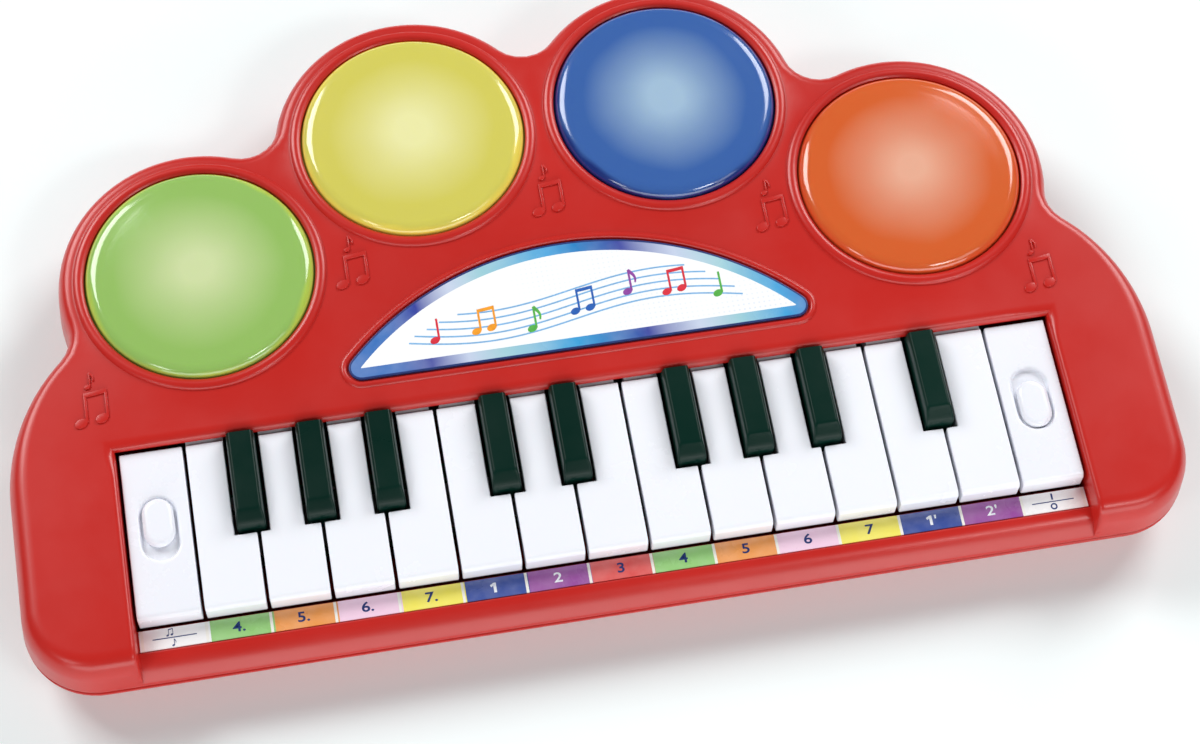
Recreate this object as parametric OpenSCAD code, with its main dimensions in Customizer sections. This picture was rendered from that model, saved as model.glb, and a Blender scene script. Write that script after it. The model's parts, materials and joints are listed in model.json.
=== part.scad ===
// Toy electronic keyboard: 22 sprung keys, four light-up pads, two slide switches, a speaker
// and a battery bay, in a two-part moulded case. Millimetres, +Z up, +Y towards the back.
// Origin: on the surface it stands on, at the centre of the case's outline box.

/* [Case] */
// Half of the case's greatest width
case_half_width = 177.5; // [176:0.5:180]
// Height at which the two case halves meet
parting_z = 13.5; // [13:0.1:14]
// Height of the case's flat top
case_top_z = 30; // [30:0.1:30.5]
// Thickness of the case's top plate
top_plate = 2.5; // [2.2:0.1:2.6]
// Plan radius of the two front corners
front_corner_r = 22.8; // [18:0.2:26]
// Plan radius of the case around each pad
lobe_r = 45.2; // [44.6:0.1:45.8]
// Plan radius of the hollows between the lobes
notch_r = 9.5; // [8:0.5:11]

/* [Keys] */
// Distance from one white key to the next
key_pitch = 19; // [18.9:0.05:19.05]
// Gap between neighbouring white keys
key_gap = 1.1; // [0.9:0.05:1.3]
// Height of the white keys' tops
key_top_z = 27; // [26.8:0.1:27.1]
// Width of a black key
black_key_w = 8.7; // [8.4:0.1:8.9]
// How far a black key stands above the white ones
black_rise = 5; // [4:0.1:5.5]
// Angle that a white key turns when pressed
white_dip = 4.2; // [3.5:0.1:4.3]
// Angle that a black key turns when pressed
black_dip = 5; // [4:0.1:5.1]

/* [Pads] */
// Radius of the round well around a pad
well_r = 35.5; // [35.3:0.1:35.7]
// Gap between a pad and its well
pad_gap = 0.6; // [0.4:0.05:0.8]
// Height of the pads' rims
pad_rim_z = 33; // [32.6:0.1:33.4]
// How much higher the middle of a pad is than its rim
pad_crown = 1.5; // [1:0.1:1.8]
// Travel of a pad
pad_travel = 2.5; // [2:0.1:2.6]

/* [Switches] */
// Travel of a slide switch
switch_travel = 4; // [3.6:0.1:4]

/* [Hidden] */
white_count = 13;
pad_names = ["green", "yellow", "blue", "orange"];
pad_colours = ["yellowgreen", "gold", "royalblue", "orangered"];
black_after = [1, 2, 3, 5, 6, 8, 9, 10, 12];
black_shift = [-1.9, 0, 1.9, -1.3, 1.3, -1.9, 0, 1.9, -1.3];
bare_joint = [4, 7, 11];
function two(n) = str(n < 10 ? "0" : "", n);

// Plan: the keys' front edge, and everything else counted back from it in key pitches
front_y = -87.3;
slot_front_y = front_y - 1;
slot_back_y = front_y + 2.83 * key_pitch;
slot_half_w = 7.5 * key_pitch + 1.4;
key_back_y = slot_back_y - 0.8;
pivot_y = front_y + 3.3 * key_pitch;
pivot_z = 21.5;
black_front_y = front_y + 1.22 * key_pitch;
plunger_y = front_y + 1.65 * key_pitch;
case_front_y = front_y - 0.85 * key_pitch;
pads = [for (p = [[-5.9, 5.67], [-2.13, 7.66], [2.13, 7.66], [5.9, 5.67]])
    [p[0] * key_pitch, front_y + p[1] * key_pitch]];
shoulder = [case_half_width - 3.2 * key_pitch, front_y + 2.3 * key_pitch];
shoulder_r = 3.2 * key_pitch;
under_plate_z = case_top_z - top_plate;
floor_z = 2;
floor_top_z = 4;
ledge_z = 20.35;
side_draft = 0.108;
wall = 2;
slot_bevel = 2;
tiny = 0.01;

// Fasteners and supports
screw_spots = concat([for (s = [-1, 1], p = [[158, -85], [148, -12], [81.6, 49.4]]) [s * p[0], p[1]]],
    [[0, 68.5], [6, 5]]);
foot_spots = [[-148, -74], [148, -74], [-96, 42], [96, 42]];
board_t = 1.6;
pad_board_z = 16.4;
pad_board_r = 30;
post_ring = 26;
key_board_z = 10;
frame_z = 12;
frame_t = 2;
main_board_z = 8;
main_board_at = [112, 22];
main_board_half = [19, 19];
switch_x = 7 * key_pitch + 0.4;
switch_y = front_y + 1.45 * key_pitch;
key_board_posts = [for (x = [-112, -56, 0, 56, 112]) [x, -49.5, key_board_z, board_t]];
frame_posts = [for (x = [-118, -82, -2, 82, 118]) [x, -26.3, frame_z, frame_t]];
pad_posts = [for (p = pads, a = [90, 210, 330])
    [p[0] + post_ring * cos(a), p[1] + post_ring * sin(a), pad_board_z, board_t]];
main_posts = [for (sx = [-1, 1], sy = [-1, 1])
    [main_board_at[0] + sx * 15.5, main_board_at[1] + sy * 15.5, main_board_z, board_t]];
screwed_posts = concat(key_board_posts, frame_posts, pad_posts, main_posts);
post_r = 3;
post_screw_r = 1;

// Battery bay for three AA cells, door hinged along its left edge
bay_low = [-69.4, -18.8];
bay_high = [-10.6, 26];
bay_wall = 1.6;
bay_roof_z = 18.8;
cell_pitch = 14.9;
door_gap = 0.4;
door_t = 1.8;
door_hinge = [bay_low[0] + 1.2, floor_z + 0.9];
door_knuckle_r = 0.9;
door_pin_r = 0.7;
door_screw_at = [-6, 3];
tongue_half_w = 6;

speaker_at = [42, 3];
speaker_r = 25.8;

// Key contacts: rubber domes drawn at the height that a fully pressed key leaves them
rubber_t = 1;
dome_top_z = 14.6;
function plunger_z(dip) = dome_top_z + (plunger_y - pivot_y) * -sin(dip) + 0.5;
contact_top_z = key_board_z + board_t + rubber_t;

// ---- Outline of the case, as a chain of tangent arcs ----
function on_arc(c, r, a) = c + r * [cos(a), sin(a)];
function arc(c, r, a0, a1, steps, first = 0) =
    [for (i = [first:steps]) on_arc(c, r, a0 + (a1 - a0) * i / steps)];
function bearing(from, to) = atan2(to[1] - from[1], to[0] - from[0]);
function ahead(a0, a1) = a0 + ((a1 - a0) % 360 + 360) % 360;
function behind(a0, a1) = a0 - ((a0 - a1) % 360 + 360) % 360;
// Centre of the hollow that touches two circles on the right of the line between them
function notch_centre(c1, r1, c2, r2) =
    let (gap = norm(c2 - c1), a = r1 + notch_r, b = r2 + notch_r,
         along = (a * a - b * b + gap * gap) / (2 * gap),
         across = sqrt(a * a - along * along), u = (c2 - c1) / gap)
    c1 + along * u + across * [u[1], -u[0]];
notch_1 = notch_centre(shoulder, shoulder_r, pads[3], lobe_r);
notch_2 = notch_centre(pads[3], lobe_r, pads[2], lobe_r);
notch_3 = notch_centre(pads[2], lobe_r, pads[1], lobe_r);
// A convex stretch of the outline from direction a0 to the bearing of the next centre
function bulge(c, r, a0, next, steps, d, first = 1) =
    arc(c, r - d, a0, ahead(a0, bearing(c, next)), steps, first);
function hollow(c, from, to, steps, d) =
    arc(c, notch_r + d, bearing(c, from), behind(bearing(c, from), bearing(c, to)), steps, 1);
function half_outline(d) = concat(
    arc([case_half_width - front_corner_r, case_front_y + front_corner_r], front_corner_r - d, -90, 0, 8),
    bulge(shoulder, shoulder_r, 0, notch_1, 7, d, 0),
    hollow(notch_1, shoulder, pads[3], 4, d),
    bulge(pads[3], lobe_r, bearing(pads[3], notch_1), notch_2, 14, d),
    hollow(notch_2, pads[3], pads[2], 5, d),
    bulge(pads[2], lobe_r, bearing(pads[2], notch_2), notch_3, 14, d),
    hollow(notch_3, pads[2], [notch_3[0], notch_3[1] - 1], 3, d));
function outline(d) =
    let (half = half_outline(d))
    concat(half, [for (i = [len(half) - 2:-1:0]) [-half[i][0], half[i][1]]]);
// Solid through a stack of levels, each a height and an inset from the widest outline,
// trimmed flat between heights z0 and z1
module lofted(levels, z0, z1) {
    rings = [for (l = levels) [for (p = outline(l[1])) [p[0], p[1], l[0]]]];
    count = len(rings[0]);
    last = (len(levels) - 1) * count;
    sides = [for (k = [0:len(levels) - 2], i = [0:count - 1])
        let (a = k * count + i, b = k * count + (i + 1) % count)
        each [[b + count, b, a], [a + count, b + count, a]]];
    base = [for (i = [0:count - 1]) i];
    lid = [for (i = [count - 1:-1:0]) last + i];
    intersection() {
        polyhedron([for (r = rings, p = r) p], concat([base], sides, [lid]), 4);
        translate([-200, -150, z0])
            cube([400, 300, z1 - z0]);
    }
}
module slab(d, z0, z1) {
    translate([0, 0, z0])
        linear_extrude(z1 - z0)
            polygon(outline(d));
}

// ---- Small helpers ----
module block(low, high) {
    translate(low)
        cube(high - low);
}
module at_each(spots) {
    for (s = spots)
        translate([s[0], s[1], 0])
            children();
}
module disc(r, z0, z1) {
    translate([0, 0, z0])
        cylinder(r = r, h = z1 - z0, $fn = 64);
}
module oval(w, l, z0, z1) {
    translate([0, 0, z0])
        linear_extrude(z1 - z0)
            union() {
                square([w, l - w], center = true);
                for (s = [-1, 1])
                    translate([0, s * (l - w) / 2])
                        circle(r = w / 2, $fn = 48);
            }
}

// ---- Case ----
badge_bottom = front_y + 3.4 * key_pitch;
badge_rise = 36.5;
badge_half_w = 71.3;
badge_tip_r = 4;
badge_arch_r = let (x = badge_half_w - badge_tip_r, h = badge_rise)
    (x * x + pow(badge_tip_r - h, 2) - badge_tip_r * badge_tip_r) / (2 * (h - 2 * badge_tip_r));
function badge_outline(d) =
    let (arch = [0, badge_bottom + badge_rise - badge_arch_r],
         tip = [badge_half_w - badge_tip_r, badge_bottom + badge_tip_r],
         a = bearing(arch, tip),
         right = concat(arc(tip, badge_tip_r + d, -90, a, 6), arc(arch, badge_arch_r + d, a, 90, 14, 1)))
    concat(right, [for (i = [len(right) - 2:-1:0]) [-right[i][0], right[i][1]]]);
badge_floor_z = case_top_z - 0.6;

module badge_shape(d, z0, z1) {
    translate([0, 0, z0])
        linear_extrude(z1 - z0)
            polygon(badge_outline(d));
}
module pad_bead() {
    rotate_extrude($fn = 96)
        polygon([[well_r, case_top_z - 1], [well_r, 30.7], [well_r + 0.7, 31.2],
                 [well_r + 2.5, 31.2], [well_r + 3.2, 30.7], [well_r + 3.2, case_top_z - 1]]);
}
module upper_shell() {
    cheek = slot_half_w + wall;
    color("firebrick")
    difference() {
        union() {
            difference() {
                lofted([[parting_z - 1, -side_draft], [parting_z + 12, 12 * side_draft], [28.2, 2.6], [29.5, 4.6],
                        [31, 11.2]], parting_z, case_top_z);
                slab(3.2, parting_z - 1, 24);
                slab(5.2, 24 - tiny, under_plate_z);
            }
            // Side walls of the key slot and the ledge in front of the keys
            for (s = [-1, 1])
                block([s > 0 ? slot_half_w : -cheek, case_front_y + 3, 15],
                      [s > 0 ? cheek : -slot_half_w, slot_back_y, under_plate_z + tiny]);
            block([-slot_half_w - 1, case_front_y + 3, ledge_z - wall], [slot_half_w + 1, slot_front_y, ledge_z + 1]);
            at_each(pads)
                pad_bead();
            difference() {
                badge_shape(2.6, case_top_z - 1, case_top_z + 0.7);
                badge_shape(0.6, case_top_z - 2, case_top_z + 2);
            }
            // Bosses that take the case screws
            at_each(screw_spots)
                disc(3.6, 16, under_plate_z + tiny);
        }
        block([-slot_half_w, case_front_y - 10, ledge_z], [slot_half_w, slot_back_y, 40]);
        block([-slot_half_w, slot_front_y, 10], [slot_half_w, slot_back_y, 40]);
        // Bevel along the back edge of the key slot
        translate([-slot_half_w, slot_back_y, case_top_z - slot_bevel])
            rotate([45, 0, 0])
                cube([2 * slot_half_w, 2 * slot_bevel, 2 * slot_bevel]);
        at_each(pads)
            disc(well_r, 20, 40);
        badge_shape(0.3, badge_floor_z, case_top_z + 2);
        at_each(screw_spots)
            disc(1.5, 15, 25);
    }
}
module lower_shell() {
    color("firebrick")
    difference() {
        union() {
            difference() {
                lofted([[1.5, 13.2], [2.6, 8.4], [4.5, 5.2], [7.5, 2.8], [14.5, 0.2]], floor_z, parting_z);
                slab(11, floor_top_z, 5.6);
                slab(7.8, 5.6 - tiny, 8);
                slab(4.8, 8 - tiny, parting_z + 1);
            }
            at_each(screw_spots)
                disc(4.4, floor_top_z - tiny, 16);
            for (p = screwed_posts)
                translate([p[0], p[1], 0])
                    disc(post_r, floor_top_z - tiny, p[2]);
            for (s = [-1, 1])
                translate([s * switch_x, switch_y, 0])
                    disc(4, floor_top_z - tiny, 11);
            // Battery bay walls and roof
            block([bay_low[0] - bay_wall, bay_low[1] - bay_wall, floor_top_z - tiny],
                  [bay_high[0] + bay_wall, bay_high[1] + bay_wall, bay_roof_z + bay_wall]);
            translate([door_screw_at[0], door_screw_at[1], 0])
                disc(4, floor_top_z - tiny, 11);
            // Ring that locates the speaker
            translate([speaker_at[0], speaker_at[1], 0])
                difference() {
                    disc(speaker_r + 2.2, floor_top_z - tiny, 8);
                    disc(speaker_r + 0.4, floor_top_z, 9);
                }
        }
        block([bay_low[0], bay_low[1], 0], [bay_high[0], bay_high[1], bay_roof_z]);
        block([bay_high[0] - 1, door_screw_at[1] - tongue_half_w, 0],
              [door_screw_at[0] + tongue_half_w, door_screw_at[1] + tongue_half_w, floor_z + door_t + 0.1]);
        translate([door_screw_at[0], door_screw_at[1], 0])
            disc(2.5, 1, 9.5);
        // Bearings for the battery door's pins
        translate([door_hinge[0], 0, door_hinge[1]])
            rotate([90, 0, 0])
                translate([0, 0, -bay_high[1] - 1.3])
                    cylinder(r = door_pin_r + 0.05, h = bay_high[1] - bay_low[1] + 2.6, $fn = 32);
        at_each(screw_spots) {
            disc(3.3, 1, 8);
            disc(1.7, 7, 17);
        }
        for (p = screwed_posts)
            translate([p[0], p[1], 0])
                disc(post_screw_r, floor_top_z + 1, p[2] + 1);
        at_each(foot_spots)
            disc(6.1, 1, floor_z + 1);
        // Speaker grille
        translate([speaker_at[0], speaker_at[1], 0]) {
            disc(1.5, 1, 5);
            for (ring = [1:3], k = [0:6 * ring - 1])
                rotate(k * 60 / ring)
                    translate([6 * ring, 0, 0])
                        disc(1.5, 1, 5);
        }
    }
}
module case_screw() {
    difference() {
        union() {
            disc(3, 5.6, 8);
            disc(1.45, 7, 24);
        }
        block([-2, -0.5, 5], [2, 0.5, 6.6]);
        block([-0.5, -2, 5], [0.5, 2, 6.6]);
    }
}
module case_screws() {
    color("silver")
        at_each(screw_spots)
            case_screw();
}
module rubber_feet() {
    color("dimgray")
        at_each(foot_spots)
            rotate_extrude($fn = 64)
                polygon([[0, 0], [5.4, 0], [6, 0.6], [6, 3], [0, 3]]);
}
module badge_plate() {
    color("white")
        badge_shape(0, badge_floor_z, case_top_z + 0.3);
}
module note_strip() {
    color("white")
        block([-slot_half_w + 0.5, front_y - 0.4 * key_pitch, ledge_z],
              [slot_half_w - 0.5, slot_front_y - 0.2, ledge_z + 0.4]);
}

// ---- Battery door ----
module battery_door() {
    color("firebrick")
    difference() {
        union() {
            block([door_hinge[0], bay_low[1] + door_gap, floor_z],
                  [bay_high[0] - door_gap, bay_high[1] - door_gap, floor_z + door_t]);
            block([bay_high[0] - 2, door_screw_at[1] - tongue_half_w + door_gap, floor_z],
                  [door_screw_at[0] + tongue_half_w - door_gap, door_screw_at[1] + tongue_half_w - door_gap,
                   floor_z + door_t]);
            translate([door_hinge[0], 0, door_hinge[1]])
                rotate([90, 0, 0]) {
                    translate([0, 0, -bay_high[1] + door_gap])
                        cylinder(r = door_knuckle_r, h = bay_high[1] - bay_low[1] - 2 * door_gap, $fn = 32);
                    translate([0, 0, -bay_high[1] - 1])
                        cylinder(r = door_pin_r, h = bay_high[1] - bay_low[1] + 2, $fn = 32);
                }
        }
        translate([door_screw_at[0], door_screw_at[1], 0])
            disc(1.6, 1, 5);
        // Finger grooves
        for (k = [0:4])
            block([-58 + 3 * k, -6, floor_z - 1], [-56.6 + 3 * k, 12, floor_z + 0.5]);
    }
}
module battery_door_screw() {
    color("silver")
    translate([door_screw_at[0], door_screw_at[1], 0])
        difference() {
            union() {
                disc(1.6, floor_z, floor_z + door_t);
                disc(1.3, floor_z + door_t, 7.5);
                disc(2.1, floor_z + door_t, floor_z + door_t + 0.5);
            }
            block([-1.2, -0.3, 1], [1.2, 0.3, floor_z + 0.9]);
            block([-0.3, -1.2, 1], [0.3, 1.2, floor_z + 0.9]);
        }
}

// ---- Keys ----
// X of the line between white key i and the one after it
function seam_x(i) = (i - 6.5) * key_pitch;
function black_x(j) = seam_x(black_after[j]) + black_shift[j];
notch_side = 0.95;
function index_of(list, v) = search(v, list)[0];
// Left and right edges of white key i: at the front, and at the back beside its black keys
function front_edge(i, s) = seam_x(i + (s > 0 ? 0 : -1)) - s * key_gap / 2;
function back_edge(i, s) =
    let (seam = i + (s > 0 ? 0 : -1), j = index_of(black_after, seam),
         bare = index_of(bare_joint, seam))
    j != undef ? black_x(j) - s * (black_key_w / 2 + notch_side)
    : bare != undef ? seam_x(seam) - s * 1.6
    : seam_x(seam) - s * key_gap / 2;
// Side view of a white key: round front edge, flat top, lower tail behind the slot
white_nose_r = 2;
white_skirt_z = 20;
tail_top_z = 25.5;
tail_back_y = pivot_y + 3.4;
function white_side() = concat(
    [[front_y, white_skirt_z]],
    arc([front_y + white_nose_r, key_top_z - white_nose_r], white_nose_r, 180, 90, 6),
    [[key_back_y, key_top_z], [key_back_y, tail_top_z], [tail_back_y, tail_top_z],
     [tail_back_y, 18.5], [pivot_y - 5, 18.5], [pivot_y - 9, white_skirt_z]]);
module side_extruded(x0, x1, points) {
    translate([x0, 0, 0])
        rotate([90, 0, 90])
            linear_extrude(x1 - x0)
                polygon(points);
}
module white_key(i) {
    left = front_edge(i, -1);
    right = front_edge(i, 1);
    back_left = back_edge(i, -1);
    back_right = back_edge(i, 1);
    step_y = black_front_y - 1.1;
    bare_left = index_of(bare_joint, i - 1) != undef;
    bare_right = index_of(bare_joint, i) != undef;
    skin = 1.6;
    color("white")
    difference() {
        union() {
            difference() {
                side_extruded(left, right, white_side());
                if (back_left > left)
                    block([left - 1, bare_left ? key_back_y : step_y, 10], [back_left, tail_back_y + 1, 40]);
                if (back_right < right)
                    block([back_right, bare_right ? key_back_y : step_y, 10], [right + 1, tail_back_y + 1, 40]);
                block([left + skin, front_y + skin, 10], [right - skin, step_y - skin, key_top_z - wall]);
                block([back_left + skin, front_y + skin, 10], [back_right - skin, pivot_y - 10, key_top_z - wall]);
            }
            block([(back_left + back_right) / 2 - 2, plunger_y - 2, plunger_z(white_dip)],
                  [(back_left + back_right) / 2 + 2, plunger_y + 2, key_top_z - 1]);
        }
        pivot_bore(back_left - 1, back_right + 1);
    }
}
module pivot_bore(x0, x1) {
    translate([x0, pivot_y, pivot_z])
        rotate([0, 90, 0])
            cylinder(r = 1.56, h = x1 - x0, $fn = 32);
}
// Black key: narrower top, bevelled edges, sloping front
black_top_z = key_top_z + black_rise;
module black_key(j) {
    x = black_x(j);
    half_w = black_key_w / 2;
    color("black")
    difference() {
        intersection() {
            side_extruded(x - half_w, x + half_w,
                [[black_front_y, white_skirt_z], [black_front_y, black_top_z - 4],
                 [black_front_y + 1, black_top_z - 2.4], [black_front_y + 4.6, black_top_z],
                 [key_back_y, black_top_z], [key_back_y, tail_top_z], [tail_back_y, tail_top_z],
                 [tail_back_y, 18.5], [pivot_y - 5, 18.5], [pivot_y - 9, white_skirt_z]]);
            translate([x, tail_back_y + 1, 0])
                rotate([90, 0, 0])
                    linear_extrude(tail_back_y + 2 - black_front_y)
                        polygon([[-half_w, 10], [half_w, 10], [half_w, key_top_z], [half_w - 0.3, black_top_z - 1],
                                 [half_w - 1.1, black_top_z], [1.1 - half_w, black_top_z],
                                 [0.3 - half_w, black_top_z - 1], [-half_w, key_top_z]]);
        }
        difference() {
            block([x - half_w + 1.5, black_front_y + 2, 10], [x + half_w - 1.5, pivot_y - 10, black_top_z - 3.5]);
            block([x - 2, plunger_y - 2, 10], [x + 2, plunger_y + 2, 40]);
        }
        pivot_bore(x - half_w - 1, x + half_w + 1);
    }
    color("black")
        block([x - 2, plunger_y - 2, plunger_z(black_dip)], [x + 2, plunger_y + 2, white_skirt_z + 1]);
}
rod_half = 127.4;
module key_pivot_rod() {
    color("silver")
        translate([-rod_half, pivot_y, pivot_z])
            rotate([0, 90, 0])
                cylinder(r = 1.5, h = 2 * rod_half, $fn = 32);
}
module key_frame() {
    uprights = concat([-6.5 * key_pitch - 2.7, 6.5 * key_pitch + 2.7], [for (i = bare_joint) seam_x(i)]);
    color("dimgray")
    difference() {
        union() {
            block([-129, -30.8, frame_z], [129, -21.6, frame_z + frame_t]);
            for (x = uprights)
                block([x - 1, pivot_y - 3, frame_z], [x + 1, pivot_y + 2.9, pivot_z + 3]);
        }
        translate([-rod_half - 5, pivot_y, pivot_z])
            rotate([0, 90, 0])
                cylinder(r = 1.51, h = 2 * rod_half + 10, $fn = 32);
        at_each(frame_posts)
            disc(post_screw_r + 0.2, frame_z - 1, frame_z + frame_t + 1);
    }
}
function plunger_x(i) = (back_edge(i, -1) + back_edge(i, 1)) / 2;
module key_contact_board() {
    color("darkgreen")
    difference() {
        block([-122, -70, key_board_z], [122, -46, key_board_z + board_t]);
        at_each(key_board_posts)
            disc(post_screw_r + 0.2, key_board_z - 1, key_board_z + board_t + 1);
    }
}
module key_contact_rubber() {
    spots = concat([for (i = [1:white_count]) plunger_x(i)], [for (j = [0:len(black_after) - 1]) black_x(j)]);
    color("gainsboro")
        union() {
            block([-121, -67, key_board_z + board_t], [121, -53, contact_top_z]);
            for (x = spots)
                translate([x, plunger_y, 0])
                    disc(2.6, contact_top_z - tiny, dome_top_z);
        }
}

// ---- Switches ----
dish_w = 11;
dish_l = 20;
cap_w = 9.4;
cap_l = dish_l - switch_travel - 0.7;
neck_l = 6;
dish_floor_z = key_top_z - 1.6;
// Panel at one end of the keys; side -1 is the left one
module switch_panel(side) {
    inner = 6.5 * key_pitch + key_gap / 2;
    outer = 7.5 * key_pitch + 0.4;
    x0 = side > 0 ? inner : -outer;
    x1 = side > 0 ? outer : -inner;
    panel_side = concat(
        [[front_y, white_skirt_z]],
        arc([front_y + white_nose_r, key_top_z - white_nose_r], white_nose_r, 180, 90, 6),
        [[key_back_y, key_top_z], [key_back_y, tail_top_z + 1.5], [key_back_y + 5, tail_top_z + 1.5],
         [key_back_y + 5, 24], [key_back_y, 24], [key_back_y, white_skirt_z]]);
    color("white")
    difference() {
        side_extruded(x0, x1, panel_side);
        block([x0 + 1.8, front_y + 1.8, 10], [x1 - 1.8, key_back_y - 1.8, key_top_z - 3.4]);
        translate([side * switch_x, switch_y, 0]) {
            oval(dish_w, dish_l, dish_floor_z, 40);
            oval(4.8, neck_l + switch_travel + 0.8, 10, 40);
        }
    }
}
// Sliding cap with its neck; the left one rests at the back, the right one at the front
module switch_knob(side) {
    color("white")
        translate([side * switch_x, switch_y - side * switch_travel / 2, 0])
            union() {
                oval(cap_w, cap_l, dish_floor_z + 0.2, 27.9);
                oval(cap_w - 1.2, cap_l - 1.2, 27.9 - tiny, 28.5);
                oval(4, neck_l, 17.9, dish_floor_z + 1);
            }
}
module slide_switch(side) {
    color("silver")
        translate([side * switch_x, switch_y, 0])
            block([-4.2, -8, 11], [4.2, 8, 17.4]);
}

// ---- Pads ----
lens_r = well_r - pad_gap;
lens_skin = 2;
flange_r = 37.2;
flange_z = 24.6;
carrier_z = 25;
led_at = [0, 13];
foot_bottom_z = pad_board_z + board_t + 2.4 + pad_travel + 0.3;
// Dome that rises by crown over radius r, as a half profile
function crown_profile(r, z, crown) = [for (i = [0:8]) let (x = r * (1 - i / 8)) [x, z + crown * (1 - pow(x / r, 2))]];
module pad_lens(k) {
    color(pad_colours[k])
        translate([pads[k][0], pads[k][1], 0])
            rotate_extrude($fn = 96)
                polygon(concat(
                    [[flange_r, flange_z], [flange_r, 26], [lens_r, 26], [lens_r, pad_rim_z - 1.8],
                     [lens_r - 0.6, pad_rim_z - 0.6]],
                    crown_profile(lens_r - 2, pad_rim_z, pad_crown),
                    [[0, pad_rim_z - lens_skin], [lens_r - lens_skin - 1.4, pad_rim_z - lens_skin],
                     [lens_r - lens_skin, pad_rim_z - lens_skin - 1.4], [lens_r - lens_skin, flange_z]]));
}
module pad_carrier(k) {
    color("white")
    translate([pads[k][0], pads[k][1], 0])
        difference() {
            union() {
                disc(lens_r - lens_skin - 0.2, carrier_z, carrier_z + 1.4);
                disc(4, foot_bottom_z, carrier_z + 1);
                for (a = [45:90:315])
                    rotate(a)
                        block([6, -0.8, carrier_z + 1], [28, 0.8, pad_rim_z - lens_skin - 0.3]);
            }
            translate([led_at[0], led_at[1], 0])
                disc(4, 20, 40);
            rotate(180)
                translate([led_at[0], led_at[1], 0])
                    disc(4, 20, 40);
        }
}
module pad_circuit_boards() {
    color("darkgreen")
    difference() {
        at_each(pads)
            disc(pad_board_r, pad_board_z, pad_board_z + board_t);
        at_each(pad_posts)
            disc(post_screw_r + 0.2, pad_board_z - 1, pad_board_z + board_t + 1);
    }
}
module pad_leds() {
    top = pad_board_z + board_t;
    color("ivory")
        at_each(pads)
            for (a = [0, 180])
                rotate(a)
                    translate([led_at[0], led_at[1], 0])
                        rotate_extrude($fn = 32)
                            polygon([[0, top], [1.9, top], [1.9, top + 1], [1.5, top + 1], [1.5, top + 2.8],
                                     [1.1, top + 3.8], [0, top + 4.2]]);
}
module pad_return_domes() {
    top = pad_board_z + board_t;
    color("gainsboro")
        at_each(pads)
            rotate_extrude($fn = 48)
                polygon([[0, top], [7, top], [7, top + 0.6], [5, top + 0.8], [3.6, top + 2.4], [0, top + 2.4]]);
}

// ---- Electronics ----
module main_circuit_board() {
    color("darkgreen")
    difference() {
        block([main_board_at[0] - main_board_half[0], main_board_at[1] - main_board_half[1], main_board_z],
              [main_board_at[0] + main_board_half[0], main_board_at[1] + main_board_half[1],
               main_board_z + board_t]);
        at_each(main_posts)
            disc(post_screw_r + 0.2, main_board_z - 1, main_board_z + board_t + 1);
    }
}
module sound_chip() {
    top = main_board_z + board_t;
    color("black")
        translate([main_board_at[0] + 2, main_board_at[1] - 2, 0])
            rotate_extrude($fn = 48)
                polygon(concat([[0, top], [6, top]], crown_profile(6, top + 0.3, 1.6)));
}
module board_screws() {
    color("silver")
        for (p = screwed_posts)
            translate([p[0], p[1], 0]) {
                top = p[2] + p[3];
                difference() {
                    union() {
                        disc(2.2, top, top + 1.3);
                        disc(post_screw_r - 0.05, max(p[2] - 5, floor_top_z + 1.1), top + tiny);
                    }
                    block([-1.4, -0.3, top + 0.6], [1.4, 0.3, top + 2]);
                }
            }
}
// Round wire swept along a route, its bends eased by a spline through the route's points
wire_r = 0.6;
wire_sides = 8;
steps_per_span = 4;
function spline_at(p0, p1, p2, p3, t) =
    0.5 * (2 * p1 + (p2 - p0) * t + (2 * p0 - 5 * p1 + 4 * p2 - p3) * t * t
        + (3 * p1 - p0 - 3 * p2 + p3) * t * t * t);
function eased(route) =
    let (last = len(route) - 1)
    concat([for (i = [0:last - 1], k = [0:steps_per_span - 1])
        spline_at(route[max(i - 1, 0)], route[i], route[i + 1], route[min(i + 2, last)], k / steps_per_span)],
        [route[last]]);
function unit(v) = v / norm(v);
module wire(route) {
    path = eased(route);
    last = len(path) - 1;
    rings = [for (i = [0:last])
        let (along = unit(path[min(i + 1, last)] - path[max(i - 1, 0)]),
             across = unit(cross(along, [0.2, 1, 0.3])), up = cross(across, along))
        [for (k = [0:wire_sides - 1]) let (a = 360 * k / wire_sides)
            path[i] + wire_r * (cos(a) * across + sin(a) * up)]];
    sides = [for (i = [0:last - 1], k = [0:wire_sides - 1])
        let (a = i * wire_sides + k, b = i * wire_sides + (k + 1) % wire_sides)
        each [[a, b, b + wire_sides], [a, b + wire_sides, a + wire_sides]]];
    start = [for (k = [wire_sides - 1:-1:0]) k];
    end = [for (k = [0:wire_sides - 1]) last * wire_sides + k];
    polyhedron([for (r = rings, p = r) p], concat([start], sides, [end]), 4);
}
module internal_wires() {
    board_top = main_board_z + board_t;
    color("crimson")
        for (k = [0, 1]) {
            wire([[-8.2, 24.5 - 3 * k, 12], [-4, 34 - 2 * k, 8], [10, 36 - 2 * k, 6], [50, 36 - 2 * k, 6],
                  [84, 36 - 2 * k, 7], [90, 36 - 2 * k, 12], [97, 33 - 2 * k, board_top + 0.8]]);
            wire([[66, 16 + 3 * k, 12], [74, 20 + 2 * k, 8], [84, 22 + 2 * k, 7], [90, 22 + 2 * k, 12],
                  [97, 22 + 2 * k, board_top + 0.8]]);
        }
}
module speaker_turned(points) {
    translate([speaker_at[0], speaker_at[1], 0])
        rotate_extrude($fn = 96)
            polygon(points);
}
module speaker_frame() {
    color("dimgray")
        speaker_turned([[21, floor_top_z], [speaker_r, floor_top_z], [speaker_r, 5.2], [23, 5.2],
                        [15, 11.4], [9, 11.4], [9, 10.4], [14.4, 10.4], [21, 5]]);
}
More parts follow.
